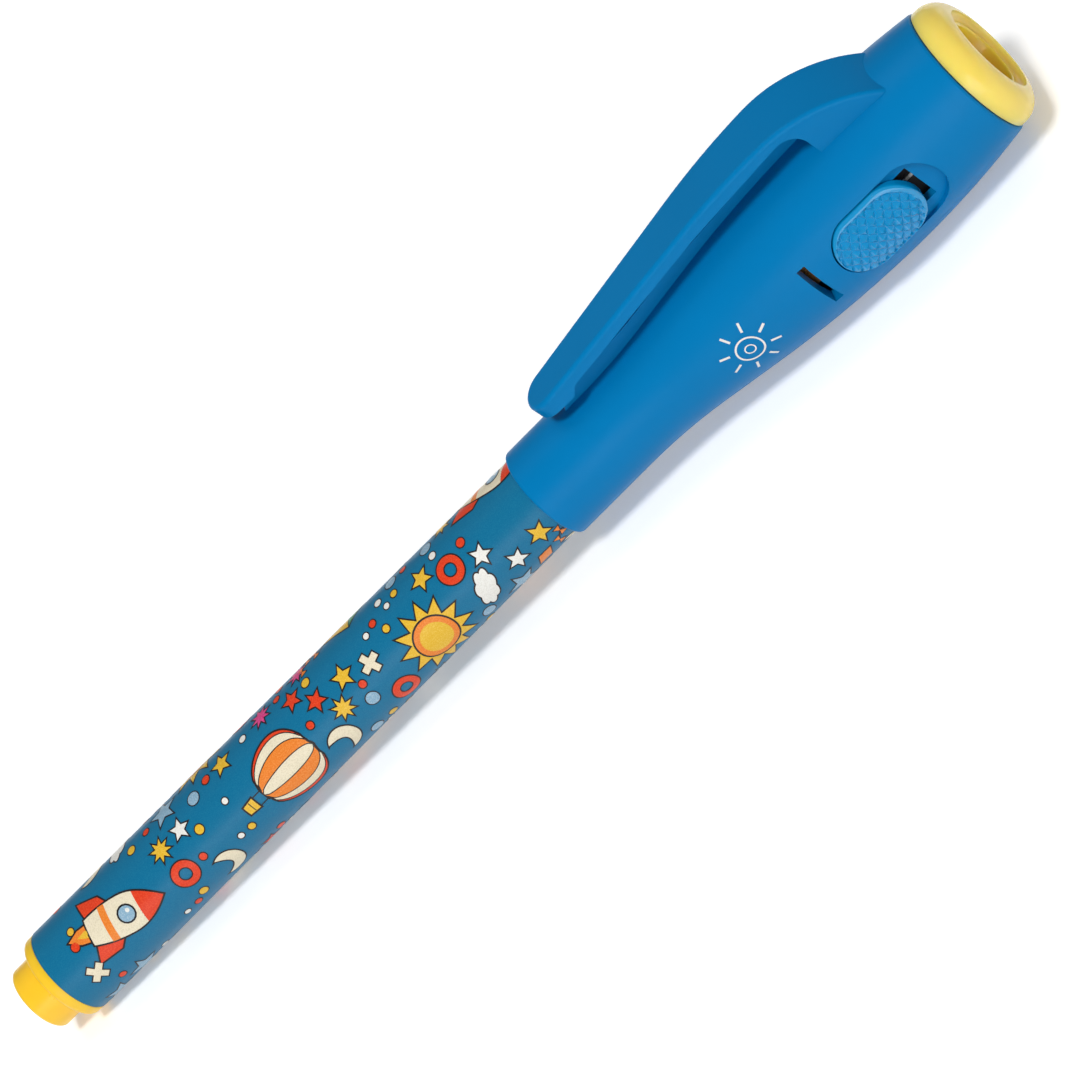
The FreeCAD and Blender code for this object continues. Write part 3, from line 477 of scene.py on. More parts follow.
@dataclass(frozen=True)
class FibreRod(Finish):
    """Bundled fibres that run along the pen, pressed or wrapped into a rod."""

    name: str
    colour: str
    gap_shade_colour: str
    fibre: float = 0.09
    fibre_depth: float = 0.02

    def surface(self, tree: Tree, place: Socket) -> dict:
        """Fibres drawn out along the pen, sunk in the gaps between them and darker there: painted shade in the
        gaps.

        Args:
            tree: the material's node tree.
            place: the socket of the place on the object in metres.

        Returns:
            The shader's inputs.
        """
        stretch = add_node(tree, "ShaderNodeMapping", {"Vector": place, "Scale": (0.12, 1.0, 1.0)})
        strands = add_node(tree, "ShaderNodeTexNoise", {
            "Vector": stretch, "Scale": scale_for(self.fibre), "Detail": 3.0, "Roughness": 0.6,
        })
        relief = {"Height": strands, "Distance": self.fibre_depth * MM}
        return {
            # The darker colour in the gaps between the fibres is painted shade.
            "Base Color": two_tone(tree, strands, (0.35, 0.6), 1.0, (self.gap_shade_colour, self.colour)),
            "Roughness": 0.85,
            "Sheen Weight": 0.25,
            "Sheen Roughness": 0.5,
            "Normal": add_node(tree, "ShaderNodeBump", relief),
        }


# Moulded ABS from a matt mould: an even, deep blue that hardly shines.
BLUE_ABS = MouldedPlastic("blue_moulded_abs", "#0077B3", "#0074AF", 0.36, grain=0.14, specular=0.1)
# The same plastic from a polished mould. Its paler colour is painted light: it stands in for the light that the
# knurl's facets catch.
BLUE_SLIDE_PAINTED_LIT = MouldedPlastic("blue_moulded_abs_slide_painted_lit", "#008FC8", "#008BC3", 0.12, grain=0.1, specular=0.7)
# Moulded polypropylene: a warm yellow, waxy and faintly lit from inside.
YELLOW_PP = MouldedPlastic("yellow_moulded_polypropylene", "#FBCB2E", "#F9C628", 0.3, glow=0.35,
                           glow_reach=1.6)
# Moulded styrene: pale and glossy. Its golden colour round the lamp is a painted glow, for the light that passes
# through the ring and bounces inside it.
PALE_YELLOW_STYRENE = GlowPaintedPlastic("pale_yellow_moulded_styrene", "#FCDD6E", "#FAD864", 0.2, glow=0.75,
                                   glow_reach=2.6, grain_depth=0.0004)
# Moulded polypropylene without colour: satin white.
WHITE_PP = MouldedPlastic("white_moulded_polypropylene", "#E9E8E3", "#E4E3DC", 0.36, glow=0.3)
# Soft moulded polyethylene: dull, waxy and slightly milky.
SOFT_WHITE_PE = MouldedPlastic("soft_white_polyethylene", "#E6E5DE", "#DEDCD2", 0.5, glow=0.4)
# The barrel's moulded polypropylene, which shows only at the film's ends: a satin blue.
BARREL_PP = MouldedPlastic("blue_barrel_polypropylene", "#1F6E9C", "#1D6994", 0.36)
# Black ABS from an etched mould: dark and dull, with a coarser grain.
BLACK_ABS = MouldedPlastic("black_moulded_abs", "#15161A", "#1D1E22", 0.52, grain=0.1, grain_depth=0.003)
# Printed shrink film: a deep blue ground with the screen's paler specks.
BARREL_FILM = PrintedFilm("printed_barrel_film", "#046890", "#1F7A9C")
# Drawn steel with bright nickel on it: it mirrors in fine lines.
CAN_STEEL = StripMetal("nickel_plated_steel", "#C9C6BE", "#B5B0A6", 0.24)
# Stamped steel with tin on it: paler and softer in its shine.
LEG_STEEL = StripMetal("tinned_steel_leg", "#C4C4C2", "#AEADAA", 0.34)
# Rolled phosphor bronze: brown gold with darker stains.
SPRING_BRONZE = StripMetal("phosphor_bronze_strip", "#B9854E", "#8F6236", 0.3)
# Drawn gold wire: a warm, soft shine.
BOND_GOLD = StripMetal("gold_bond_wire", "#E2B45A", "#CFA04A", 0.3)
# Cast epoxy: water-clear, and polished by its mould.
LAMP_EPOXY = ClearPlastic("clear_cast_epoxy", "#EDEBF7", 0.02, 1.54)
# Thin clear polyester wrap: it hardly bends light and shows as a gloss.
CLEAR_WRAP = ClearPlastic("clear_polyester_film", "#F4F6F6", 0.08, 1.3)
# Pressed acrylic fibre: an off-white, dull point of fine strands.
NIB_FIBRE = FibreRod("pressed_acrylic_fibre", "#EFEDE4", "#D2CEC0", 0.06)
# Bonded polyester fibre: white and woolly, with coarser strands.
RESERVOIR_FIBRE = FibreRod("bonded_polyester_fibre", "#F0EFEA", "#D8D6CC", 0.12)


# ----------------------------------------------------------------------------------------------------------
# Meshes
# ----------------------------------------------------------------------------------------------------------
def grid_faces(rows: int, columns: int, rows_closed: bool, columns_closed: bool) -> np.ndarray:
    """The quads between neighbours in a grid of points that are numbered row by row.

    Args:
        rows: how many rows there are.
        columns: how many columns there are.
        rows_closed: whether the last row joins the first.
        columns_closed: whether the last column joins the first.

    Returns:
        Quads as point numbers, (n, 4).
    """
    row = np.arange(rows if rows_closed else rows - 1)[:, None]
    column = np.arange(columns if columns_closed else columns - 1)[None, :]
    below = (row + 1) % rows
    after = (column + 1) % columns
    quads = np.stack([row * columns + column, row * columns + after, below * columns + after,
                      below * columns + column], axis=-1)
    return quads.reshape(-1, 4)


def merged_piece(name: str, shells: list[Shell], material: bpy.types.Material,
                 close_ends: bool = False) -> bpy.types.Object:
    """Join shells into one piece.

    Points that meet are merged, and faces are turned outwards.

    Args:
        name: the piece's name.
        shells: the shells to join.
        material: its finish.
        close_ends: whether the open ends of tubes are closed.

    Returns:
        The object, at the origin, in the scene.
    """
    starts = np.cumsum([0] + [len(points) for points, _ in shells[:-1]])
    points = np.concatenate([points for points, _ in shells])
    faces = np.concatenate([faces + start for (_, faces), start in zip(shells, starts)])
    mesh = bpy.data.meshes.new(name)
    mesh.from_pydata(points, [], faces.tolist())
    work = bmesh.new()
    work.from_mesh(mesh)
    bmesh.ops.remove_doubles(work, verts=work.verts, dist=MERGE)
    if close_ends:
        bmesh.ops.holes_fill(work, edges=[edge for edge in work.edges if edge.is_boundary], sides=0)
    bmesh.ops.recalc_face_normals(work, faces=work.faces)
    work.to_mesh(mesh)
    work.free()
    mesh.materials.append(material)
    mesh.update()
    piece = bpy.data.objects.new(name, mesh)
    bpy.context.scene.collection.objects.link(piece)
    return piece


def settle(piece: bpy.types.Object, body: str) -> None:
    """Make a piece ride on a body.

    Args:
        piece: the piece.
        body: the body's name.
    """
    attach(piece, body)
    LOG.info("%s rides on %s: %d faces", piece.name, body, len(piece.data.polygons))


def dress(nodes: dict, finishes: dict[str, Finish]) -> None:
    """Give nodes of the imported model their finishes, with one material for each finish.

    Args:
        nodes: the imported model's objects by name.
        finishes: for a node's name, its finish.
    """
    materials = {finish: finish.material() for finish in dict.fromkeys(finishes.values())}
    for name, finish in finishes.items():
        for place in nodes[name].material_slots:
            place.material = materials[finish]
        LOG.info("%s is finished in %s", name, finish.name)


# ----------------------------------------------------------------------------------------------------------
# Places on the pen
# ----------------------------------------------------------------------------------------------------------
@dataclass(frozen=True)
class PenSpace:
    """The pen's axis in the row frame."""

    tail_x: float
    axis_z: float

    @classmethod
    def from_frame(cls) -> "PenSpace":
        """Find the axis in the middle of the barrel's box, and its start at the tail plug's low end.

        Returns:
            The pen's space.
        """
        low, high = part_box("barrel")
        tail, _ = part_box("tail_plug")
        return cls(tail.x / MM, (low.z + high.z) / 2 / MM)

    def place(self, station: np.ndarray, radius: np.ndarray, angle: np.ndarray) -> np.ndarray:
        """Turn places round the pen into places in the row frame.

        Across the pen a place lies at minus the radius times the angle's sine, and above the axis at the
        radius times its cosine.

        Args:
            station: places along the pen.
            radius: distances from the axis.
            angle: angles round it in radians.

        Returns:
            Places in metres.
        """
        across = -radius * np.sin(angle)
        height = self.axis_z + radius * np.cos(angle)
        return MM * np.stack(np.broadcast_arrays(self.tail_x + station, across, height), axis=-1)


@dataclass(frozen=True)
class RoundSkin:
    """The outer surface of a turned node, as its radius at some stations."""

    space: PenSpace
    stations: np.ndarray
    radii: np.ndarray

    @classmethod
    def measured(cls, space: PenSpace, node: bpy.types.Object, stations: np.ndarray,
                 angle: float) -> "RoundSkin":
        """Find the radii with rays that run from outside towards the axis.

        Args:
            space: the pen's space.
            node: the node's object.
            stations: where along the pen to measure.
            angle: where round the pen to measure, in radians.

        Returns:
            The skin.
        """
        outside = 30.0
        far = space.place(stations, np.full(len(stations), outside), np.full(len(stations), angle))
        inward = Vector((0.0, math.sin(angle), -math.cos(angle)))
        axis = np.array([0.0, space.axis_z * MM])
        radii = []
        for start in far:
            hit, point, _, _ = node.ray_cast(Vector(start), inward)
            if not hit:
                raise RuntimeError(f"{node.name} has no skin at x = {start[0]:.4f} m")
            radii.append(float(np.hypot(*(np.array(point)[1:] - axis))) / MM)
        return cls(space, stations, np.array(radii))

    def radius(self, station: np.ndarray) -> np.ndarray:
        """The radius at any station, in straight lines between the measured ones."""
        return np.interp(station, self.stations, self.radii)

    def wrap(self, flat: np.ndarray, lift: float, station: float, angle: float) -> np.ndarray:
        """Lay a flat drawing on the skin.

        Lengths round the pen are kept at the drawing's middle: the angle is the drawing's imaginary part
        over the radius there.

        Args:
            flat: the drawing's points as complex numbers.
            lift: height above the skin.
            station: where the drawing's origin lies along the pen.
            angle: where it lies round the pen, in radians.

        Returns:
            Places in metres.
        """
        along = station + flat.real
        turn = angle + flat.imag / self.radius(np.array(station))
        return self.space.place(along, self.radius(along) + lift, turn)


# ----------------------------------------------------------------------------------------------------------
# Flat drawings
# ----------------------------------------------------------------------------------------------------------
STROKE = 0.17               # width of the black line round a motif
SHARPEST_MITRE = 0.34       # a sharper corner of a widened outline is cut back
SAMPLE = 0.3                # distance between an outline's points
LAYER = 0.008               # thickness of one printed layer
RING_STEP = 0.4             # widest step from edge to edge of an inked area
BASE_LIFT = 0.01            # lowest printed layer above the measured skin


class Fill(Enum):
    """How an outline's inside is meshed."""

    FAN = "from its middle"
    RIBBON = "from its first half to its second half"


def circle(radius: float, count: int = 0) -> np.ndarray:
    """An anticlockwise circle: radius times e to the i t, t from 0 to a full turn."""
    count = count or max(16, int(math.tau * radius / SAMPLE))
    return radius * np.exp(1j * np.linspace(0, math.tau, count, endpoint=False))


def polygon(*corners: complex) -> np.ndarray:
    """Run a closed anticlockwise outline through corners, with even steps along each straight side.

    The area inside is half the sum, side by side, of the cross product of its ends. Where it is negative the
    corners run clockwise, and the outline is turned round.

    Args:
        *corners: the corners in order.

    Returns:
        The outline's points.
    """
    ends = np.array(corners)
    sides = []
    for start, end in zip(ends, np.roll(ends, -1)):
        count = max(1, round(abs(end - start) / SAMPLE))
        sides.append(start + (end - start) * np.arange(count) / count)
    outline = np.concatenate(sides)
    area = np.sum(outline.real * np.roll(outline.imag, -1) - np.roll(outline.real, -1) * outline.imag)
    return outline if area > 0 else outline[::-1]


def star(points: int, outer: float, inner: float, turn: float = 0.0) -> np.ndarray:
    """Draw a star whose corners lie by turns on two circles, at even angles.

    Args:
        points: how many points it has.
        outer: the radius to the points.
        inner: the radius to the corners between them.
        turn: the first point's angle in radians.

    Returns:
        The outline's points.
    """
    corner = np.arange(2 * points)
    radius = np.where(corner % 2 == 0, outer, inner)
    return polygon(*(radius * np.exp(1j * (turn + math.pi * corner / points))))


def widened(outline: np.ndarray, distance: float) -> np.ndarray:
    """Push an anticlockwise outline outwards.

    Each point moves along the mitre of its two sides, by the distance over the mitre's lean against them.

    Args:
        outline: the outline's points.
        distance: how far its sides move.

    Returns:
        The wider outline's points.
    """
    ahead = np.roll(outline, -1) - outline
    ahead = ahead / np.abs(ahead)
    normal = -1j * (ahead + np.roll(ahead, 1))
    normal = normal / np.abs(normal)
    lean = np.real(normal * np.conj(-1j * ahead))
    return outline + distance / np.maximum(lean, SHARPEST_MITRE) * normal


@dataclass(frozen=True)
class Area:
    """One inked area: everything between two edges that run side by side.

    closed says whether the edges are loops. layer is the area's height in the print.
    """

    ink: Ink
    near: np.ndarray
    far: np.ndarray
    closed: bool
    layer: int

    def moved(self, scale: float, turn: float) -> "Area":
        """The area scaled and turned about the drawing's origin."""
        change = scale * np.exp(1j * turn)
        return Area(self.ink, self.near * change, self.far * change, self.closed, self.layer)

    def shell(self, skin: RoundSkin, station: float, angle: float, lift: float = BASE_LIFT) -> Shell:
        """Lay the area on a skin as a thin shell.

        Each section runs from the near edge to the far edge at the layer's top and back at its underside.
        The surface carries that section along the edges.

        Args:
            skin: the skin to lay it on.
            station: where the drawing's origin lies along the pen.
            angle: where it lies round the pen, in radians.
            lift: the lowest layer's height above the skin.

        Returns:
            The shell.
        """
        steps = max(1, math.ceil(float(np.max(np.abs(self.far - self.near))) / RING_STEP))
        share = np.linspace(0, 1, steps + 1)[:, None]
        flat = self.near[None, :] * (1 - share) + self.far[None, :] * share
        top = skin.wrap(flat, lift + (self.layer + 1) * LAYER, station, angle)
        under = skin.wrap(flat[::-1], lift + self.layer * LAYER + LAYER / 4, station, angle)
        points = np.concatenate([top, under])
        faces = grid_faces(points.shape[0], points.shape[1], True, self.closed)
        return points.reshape(-1, 3), faces


def inked(ink: Ink, outline: np.ndarray, fill: Fill = Fill.FAN, layer: int = 1) -> Area:
    """Fill an outline with ink.

    Args:
        ink: the ink.
        outline: the outline's points.
        fill: from its middle point outwards, or between its two halves.
        layer: its height in the print.

    Returns:
        The area.
    """
    if fill is Fill.FAN:
        return Area(ink, np.full(len(outline), outline.mean()), outline, True, layer)
    half = len(outline) // 2
    return Area(ink, outline[:half], outline[half:2 * half][::-1], False, layer)


def lined(ink: Ink, outline: np.ndarray, fill: Fill = Fill.FAN, layer: int = 1,
          stroke: float = STROKE) -> list[Area]:
    """An area that fills an outline, over a black one that is wider by a stroke."""
    return [inked(Ink.BLACK, widened(outline, stroke), fill, layer - 1), inked(ink, outline, fill, layer)]


def ring(ink: Ink, outer: float, inner: float, layer: int = 1) -> Area:
    """A flat ring."""
    edge = circle(1.0, max(24, int(math.tau * outer / SAMPLE)))
    return Area(ink, inner * edge, outer * edge, True, layer)


def stroke_line(ink: Ink, path: np.ndarray, width: float, layer: int = 1) -> Area:
    """Draw a line of even width along a path: its edges lie half a width to either side, square to it.

    Args:
        ink: the ink.
        path: the path's points.
        width: the line's width.
        layer: its height in the print.

    Returns:
        The area.
    """
    side = 1j * np.gradient(path)
    side = side / np.abs(side) * width / 2
    return Area(ink, path - side, path + side, False, layer)


def lens_outline(length: float, width: float, blunt: float) -> np.ndarray:
    """Draw a closed outline that is pointed in front.

    Its half width at a place q from -1 (back) to 1 (front) is half the width times 1 - q squared in front of
    the middle, and 1 - blunt times q squared behind it.

    Args:
        length: from its back to its point.
        width: at its middle.
        blunt: how much of the half width the back loses.

    Returns:
        The outline's points.
    """
    place = np.linspace(1, -1, max(12, int(length / SAMPLE)))
    half = width / 2 * np.where(place > 0, 1 - place ** 2, 1 - blunt * place ** 2)
    side = place * length / 2 + 1j * half
    return polygon(*side, *np.conj(side[::-1])[:-1])


def rocket() -> list[Area]:
    """Draw a toy rocket: finned, with a red nose, a round window and a flame.

    The body is a lens. Inside its front the nose's half width is half the body's times 1 - q squared.

    Returns:
        Its areas.
    """
    length, width = 7.6, 3.5
    body = lens_outline(length, width, 0.35)
    tail = -length / 2
    flame = polygon(tail - 2.1, tail - 1.0 - 0.62j, tail - 0.1 - 0.75j, tail - 0.1 + 0.75j,
                    tail - 1.0 + 0.62j)
    core = polygon(tail - 1.2, tail - 0.4 - 0.3j, tail - 0.1 - 0.32j, tail - 0.1 + 0.32j, tail - 0.4 + 0.3j)
    fin = np.array([-1.0 + 1.5j, -1.9 + 2.5j, -4.2 + 2.8j, -3.5 + 1.0j])
    front = np.linspace(1, 0.36, 10)
    nose = front * length / 2 + 1j * width / 2 * (1 - front ** 2)
    nose = polygon(*nose, *np.conj(nose[::-1])[:-1])
    belt = polygon(-2.2 - 1.6j, -1.5 - 1.66j, -1.5 + 1.66j, -2.2 + 1.6j)
    return [
        *lined(Ink.ORANGE, flame), inked(Ink.GOLD, core, layer=2),
        *lined(Ink.RED, polygon(*fin)), *lined(Ink.RED, polygon(*np.conj(fin))),
        *lined(Ink.CREAM, body, layer=3), *lined(Ink.RED, nose, layer=4, stroke=0.05),
        inked(Ink.ORANGE, belt, layer=4),
        *lined(Ink.ICE, circle(0.72) + 0.1, layer=5), inked(Ink.WHITE, circle(0.2) + 0.32 - 0.25j, layer=6),
    ]


def balloon() -> list[Area]:
    """Draw a striped hot-air balloon with a basket.

    At a place q from -1 (neck) to 1 (crown) the balloon is as wide as an ellipse that swells towards the
    crown, and has a neck. The stripes' edges keep the sine of an even angle of that width.

    Returns:
        Its areas.
    """
    place = np.linspace(-1, 1, 26)
    half = 2.95 * np.sqrt(1 - place ** 2) * (1 + 0.22 * place) + 0.26 - 0.24 * place
    along = 1.1 + 3.1 * place
    rim = np.concatenate([along + 1j * half, (along - 1j * half)[::-1]])
    areas = [inked(Ink.BLACK, widened(rim[::-1], STROKE), Fill.RIBBON, 0)]
    edges = np.linspace(-1, 1, 8)
    inks = (Ink.RED, Ink.CREAM, Ink.ORANGE, Ink.CREAM, Ink.ORANGE, Ink.CREAM, Ink.RED)
    for ink, low, high in zip(inks, edges[:-1], edges[1:]):
        bow_low, bow_high = math.sin(low * math.pi / 2), math.sin(high * math.pi / 2)
        areas.append(Area(ink, along + 1j * half * bow_low, along + 1j * half * bow_high, False, 1))
    for edge in edges[1:-1]:
        bow = math.sin(edge * math.pi / 2)
        areas.append(stroke_line(Ink.BLACK, along + 1j * half * bow, 0.09, 2))
    basket = polygon(-3.1 - 0.55j, -3.1 + 0.55j, -4.2 + 0.42j, -4.2 - 0.42j)
    areas += lined(Ink.GOLD, basket)
    for side in (-1, 1):
        rope = np.linspace(-2.0 + 0.5j * side, -3.1 + 0.5j * side, 5)
        areas.append(stroke_line(Ink.BLACK, rope, 0.1))
    areas.append(stroke_line(Ink.BLACK, np.linspace(-3.6 - 0.45j, -3.6 + 0.45j, 5), 0.09, 2))
    return areas


def kite() -> list[Area]:
    """Draw a kite of four colours whose tail runs in a sine wave, with three bows on it.

    Returns:
        Its areas.
    """
    tips = np.array([3.6, 2.3j, -2.6, -2.3j])
    middle = 0.7 + 0j
    inks = (Ink.GREEN, Ink.GOLD, Ink.MAGENTA, Ink.CREAM)
    areas = [inked(Ink.BLACK, widened(polygon(*tips), STROKE), layer=0)]
    for number, ink in enumerate(inks):
        areas.append(inked(ink, polygon(middle, tips[number], tips[(number + 1) % 4]), layer=1))
    for tip in tips:
        areas.append(stroke_line(Ink.BLACK, np.linspace(middle, tip, 8), 0.1, 2))
    run = np.linspace(0, 1, 24)
    tail = -2.6 - 3.0 * run + 0.45j * np.sin(run * math.tau * 1.2)
    areas.append(stroke_line(Ink.BLACK, tail, 0.13))
    for number in (8, 15, 22):
        spot = tail[number]
        for side in (-1, 1):
            bow = polygon(spot, spot + 0.5 * side * 1j + 0.32, spot + 0.5 * side * 1j - 0.32)
            areas += lined(Ink.ORANGE, bow, layer=2, stroke=0.08)
    return areas


def sun() -> list[Area]:
    """Draw a sun with twelve pointed rays and a ring round its disc.

    Returns:
        Its areas.
    """
    return [
        *lined(Ink.GOLD, star(12, 3.5, 2.2), stroke=0.14),
        *lined(Ink.ORANGE, circle(1.95), layer=3),
        inked(Ink.GOLD, circle(1.45), layer=4),
    ]


def crescent() -> list[Area]:
    """Draw a crescent between two curves that share their ends.

    The outer one is part of a circle, and the inner one is a parabola that bulges the same way.

    Returns:
        Its areas.
    """
    count = 30
    ends_apart = 0.02
    outer = 1.75 * np.exp(1j * np.linspace(-2.15, 2.15, count))
    reach, depth = abs(outer[0].imag), outer[0].real
    sag = np.linspace(-1, 1, count)
    inner = depth + 1.35 * (1 - sag ** 2) + 1j * reach * sag
    outline = np.concatenate([outer, inner[::-1]])
    outline[[count, -1]] += ends_apart
    return lined(Ink.CREAM, outline, Fill.RIBBON)


def cloud() -> list[Area]:
    """Draw a cloud: an oval whose edge swells with the size of a sine, in seven lobes.

    Returns:
        Its areas.
    """
    turn = np.linspace(0, math.tau, 84, endpoint=False)
    edge = (1 + 0.24 * np.abs(np.sin(3.5 * turn))) * (0.95 * np.cos(turn) + 1.85j * np.sin(turn))
    return lined(Ink.WHITE, edge)


def burst(ink: Ink) -> list[Area]:
    """An eight-pointed burst."""
    return lined(ink, star(8, 1.25, 0.6, 0.2), stroke=0.15)


def small_star(ink: Ink, size: float) -> list[Area]:
    """A five-pointed star."""
    return lined(ink, star(5, size, size * 0.46), stroke=0.16)


def plus_sign(ink: Ink) -> list[Area]:
    """Draw a plus sign: the three corners of one square-ended arm, turned by a quarter four times.

    Args:
        ink: its ink.

    Returns:
        Its areas.
    """
    arm, half = 1.15, 0.36
    corners = (arm - half * 1j, arm + half * 1j, half + half * 1j)
    turned = [corner * 1j ** quarter for quarter in range(4) for corner in corners]
    return lined(ink, polygon(*turned), stroke=0.15)


def diamond(ink: Ink) -> list[Area]:
    """A diamond, longer along its heading."""
    return lined(ink, polygon(1.35, 0.85j, -1.35, -0.85j), stroke=0.15)


def hoop(ink: Ink, radius: float) -> list[Area]:
    """A thick hoop with black edges."""
    return [ring(Ink.BLACK, radius + 0.16, radius * 0.5 - 0.14, 0), ring(ink, radius, radius * 0.5, 1)]


def dot(ink: Ink, radius: float) -> list[Area]:
    """A dot with a black edge."""
    return lined(ink, circle(radius, 22), stroke=0.13)


# ----------------------------------------------------------------------------------------------------------
# The print
# ----------------------------------------------------------------------------------------------------------
@dataclass(frozen=True)
class Motif:
    """One drawing of the print, with the radius of the room that it takes."""

    areas: list[Area]
    room: float

    def scaled(self, scale: float) -> "Motif":
        """The motif and its room at another size."""
        return Motif([area.moved(scale, 0.0) for area in self.areas], self.room * scale)


@dataclass
class BarrelPrint:
    """The generic print on the barrel's film: toys, weather signs, stars and dots.

    The large motifs climb round the barrel by a fixed step, each with a heading within its play. The others
    are dropped into the room that is left, the widest first, with a seeded draw.
    """

    skin: RoundSkin
    start: float = 6.6
    end: float = 83.4
    first_station: float = 15.5
    station_step: float = 7.35
    first_angle: float = math.radians(55)
    angle_step: float = math.radians(125)
    large_scale: float = 1.2
    large_play: float = 0.35
    small_play: float = 0.6
    medium_rounds: int = 5
    dot_rounds: int = 14
    gap: float = 0.42
    tries: int = 60
    seed: int = 31

    def large_motifs(self) -> list[Motif]:
        """List the motifs that climb round the barrel, in order.

        Returns:
            The motifs.
        """
        kinds = [motif.scaled(self.large_scale) for motif in
                 (Motif(rocket(), 4.6), Motif(kite(), 4.3), Motif(sun(), 3.7), Motif(balloon(), 4.4))]
        count = int((self.end - self.first_station) / self.station_step) + 1
        return [kinds[number % len(kinds)] for number in range(count)]

    def small_motifs(self) -> list[Motif]:
        """List the motifs for the room between: the medium ones, widest first, and then the dots.

        Returns:
            The motifs.
        """
        medium = [
            Motif(crescent(), 1.95), Motif(cloud(), 2.1), Motif(hoop(Ink.RED, 1.5), 1.7),
            Motif(burst(Ink.MAGENTA), 1.4), Motif(small_star(Ink.ICE, 1.75), 1.75),
            Motif(diamond(Ink.ORANGE), 1.3), Motif(burst(Ink.GOLD), 1.4),
            Motif(small_star(Ink.GOLD, 1.25), 1.3), Motif(plus_sign(Ink.CREAM), 1.25),
            Motif(small_star(Ink.WHITE, 1.15), 1.2), Motif(small_star(Ink.RED, 1.15), 1.2),
            Motif(burst(Ink.ICE), 1.3),
        ]
        dots = [
            Motif(dot(Ink.ICE, 0.72), 0.85), Motif(dot(Ink.RED, 0.48), 0.6),
            Motif(dot(Ink.GOLD, 0.5), 0.62), Motif(dot(Ink.WHITE, 0.42), 0.54),
            Motif(dot(Ink.GOLD, 0.4), 0.52), Motif(dot(Ink.RED, 0.4), 0.52),
            Motif(dot(Ink.WHITE, 0.34), 0.46),
        ]
        widest_first = sorted(medium * self.medium_rounds, key=lambda motif: -motif.room)
        return widest_first + dots * self.dot_rounds

    def lay_out(self) -> list[tuple[Motif, float, float, float]]:
        """Place every motif.

        A small motif is tried at seeded places. The room left at one is the distance to the nearest placed
        motif, less both motifs' rooms. Of the places with more room than the gap, the tightest is taken.

        Returns:
            Motifs, each with its station, angle and heading.
        """
        draw = np.random.default_rng(self.seed)
        around = float(self.skin.radius(np.array(self.first_station))) * math.tau
        layout = []
        rooms = []
        for number, motif in enumerate(self.large_motifs()):
            station = self.first_station + number * self.station_step
            angle = (self.first_angle + number * self.angle_step) % math.tau
            heading = float(draw.uniform(-self.large_play, self.large_play))
            layout.append((motif, station, angle, heading))
            rooms.append((station, angle / math.tau * around, motif.room))
        for motif in self.small_motifs():
            taken = np.array(rooms)
            along = draw.uniform(self.start + motif.room / 2, self.end - motif.room / 2, self.tries)
            across = draw.uniform(0, around, self.tries)
            heading = float(draw.uniform(-self.small_play, self.small_play))
            aside = np.abs(across[:, None] - taken[None, :, 1])
            aside = np.minimum(aside, around - aside)
            clear = np.hypot(along[:, None] - taken[None, :, 0], aside) - taken[None, :, 2] - motif.room
            room_left = clear.min(axis=1)
            fits = np.flatnonzero(room_left > self.gap)
            if len(fits):
                best = fits[np.argmin(room_left[fits])]
                layout.append((motif, float(along[best]), float(across[best] / around * math.tau), heading))
                rooms.append((along[best], across[best], motif.room))
        LOG.info("the print has %d motifs", len(layout))
        return layout

    def build(self) -> None:
        """Lay the motifs on the film, one piece for each ink."""
        shells = {ink: [] for ink in Ink}
        for motif, station, angle, heading in self.lay_out():
            for area in motif.areas:
                turned = area.moved(1.0, heading)
                shells[area.ink].append(turned.shell(self.skin, station, angle))
        for ink, laid in shells.items():
            if laid:
                piece = merged_piece(f"print_{ink.name.lower()}", laid, PrintInk(ink).material())
                settle(piece, "pen")


@dataclass
class LampSign:
    """A small white sign pad-printed on the cap: a lamp seen from the front, with its rays."""

    skin: RoundSkin
    station: float = 103.6
    angle: float = math.radians(90)
    disc: float = 1.45
    bulb_share: float = 0.42
    ray_start: float = 2.15
    ray_end: float = 3.25
    rays: int = 8
    line: float = 0.2
    lift: float = 0.03

    def build(self) -> None:
        """Draw the sign as two thin rings, with rays at even angles round them, on the cap's skin."""
        bulb = self.disc * self.bulb_share
        areas = [
            ring(Ink.WHITE, self.disc + self.line / 2, self.disc - self.line / 2, 0),
            ring(Ink.WHITE, bulb, bulb - self.line * 0.7, 0),
        ]
        for number in range(self.rays):
            way = np.exp(1j * math.tau * (number + 0.5) / self.rays)
            path = np.linspace(self.ray_start, self.ray_end, 8) * way
            areas.append(stroke_line(Ink.WHITE, path, self.line * 1.3, 0))
        shells = [area.shell(self.skin, self.station, self.angle, self.lift) for area in areas]
        piece = merged_piece("cap_lamp_sign", shells, PrintInk(Ink.WHITE).material())
        settle(piece, "cap")


# ----------------------------------------------------------------------------------------------------------
# The pen, the cap and the switch
# ----------------------------------------------------------------------------------------------------------
@dataclass
class PenAssembly:
    """The tail plug, the printed barrel and the fibre-tip inside."""

    space: PenSpace
    nodes: dict
    end_margin: float = 0.05
    skin_angle: float = math.radians(90)

    def build(self) -> None:
        """Finish the nodes and print the film, on a skin measured at its ends and middle."""
        dress(self.nodes, {
            "tail_plug": YELLOW_PP,
            "barrel": BARREL_PP,
            "printed_sleeve": BARREL_FILM,
            "grip_section": WHITE_PP,
            "nib": NIB_FIBRE,
            "ink_reservoir": RESERVOIR_FIBRE,
            "reservoir_film": CLEAR_WRAP,
        })
        low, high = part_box("printed_sleeve")
        ends = np.array([low.x, high.x]) / MM - self.space.tail_x
        stations = np.linspace(ends[0] + self.end_margin, ends[1] - self.end_margin, 3)
        skin = RoundSkin.measured(self.space, self.nodes["printed_sleeve"], stations, self.skin_angle)
        BarrelPrint(skin).build()


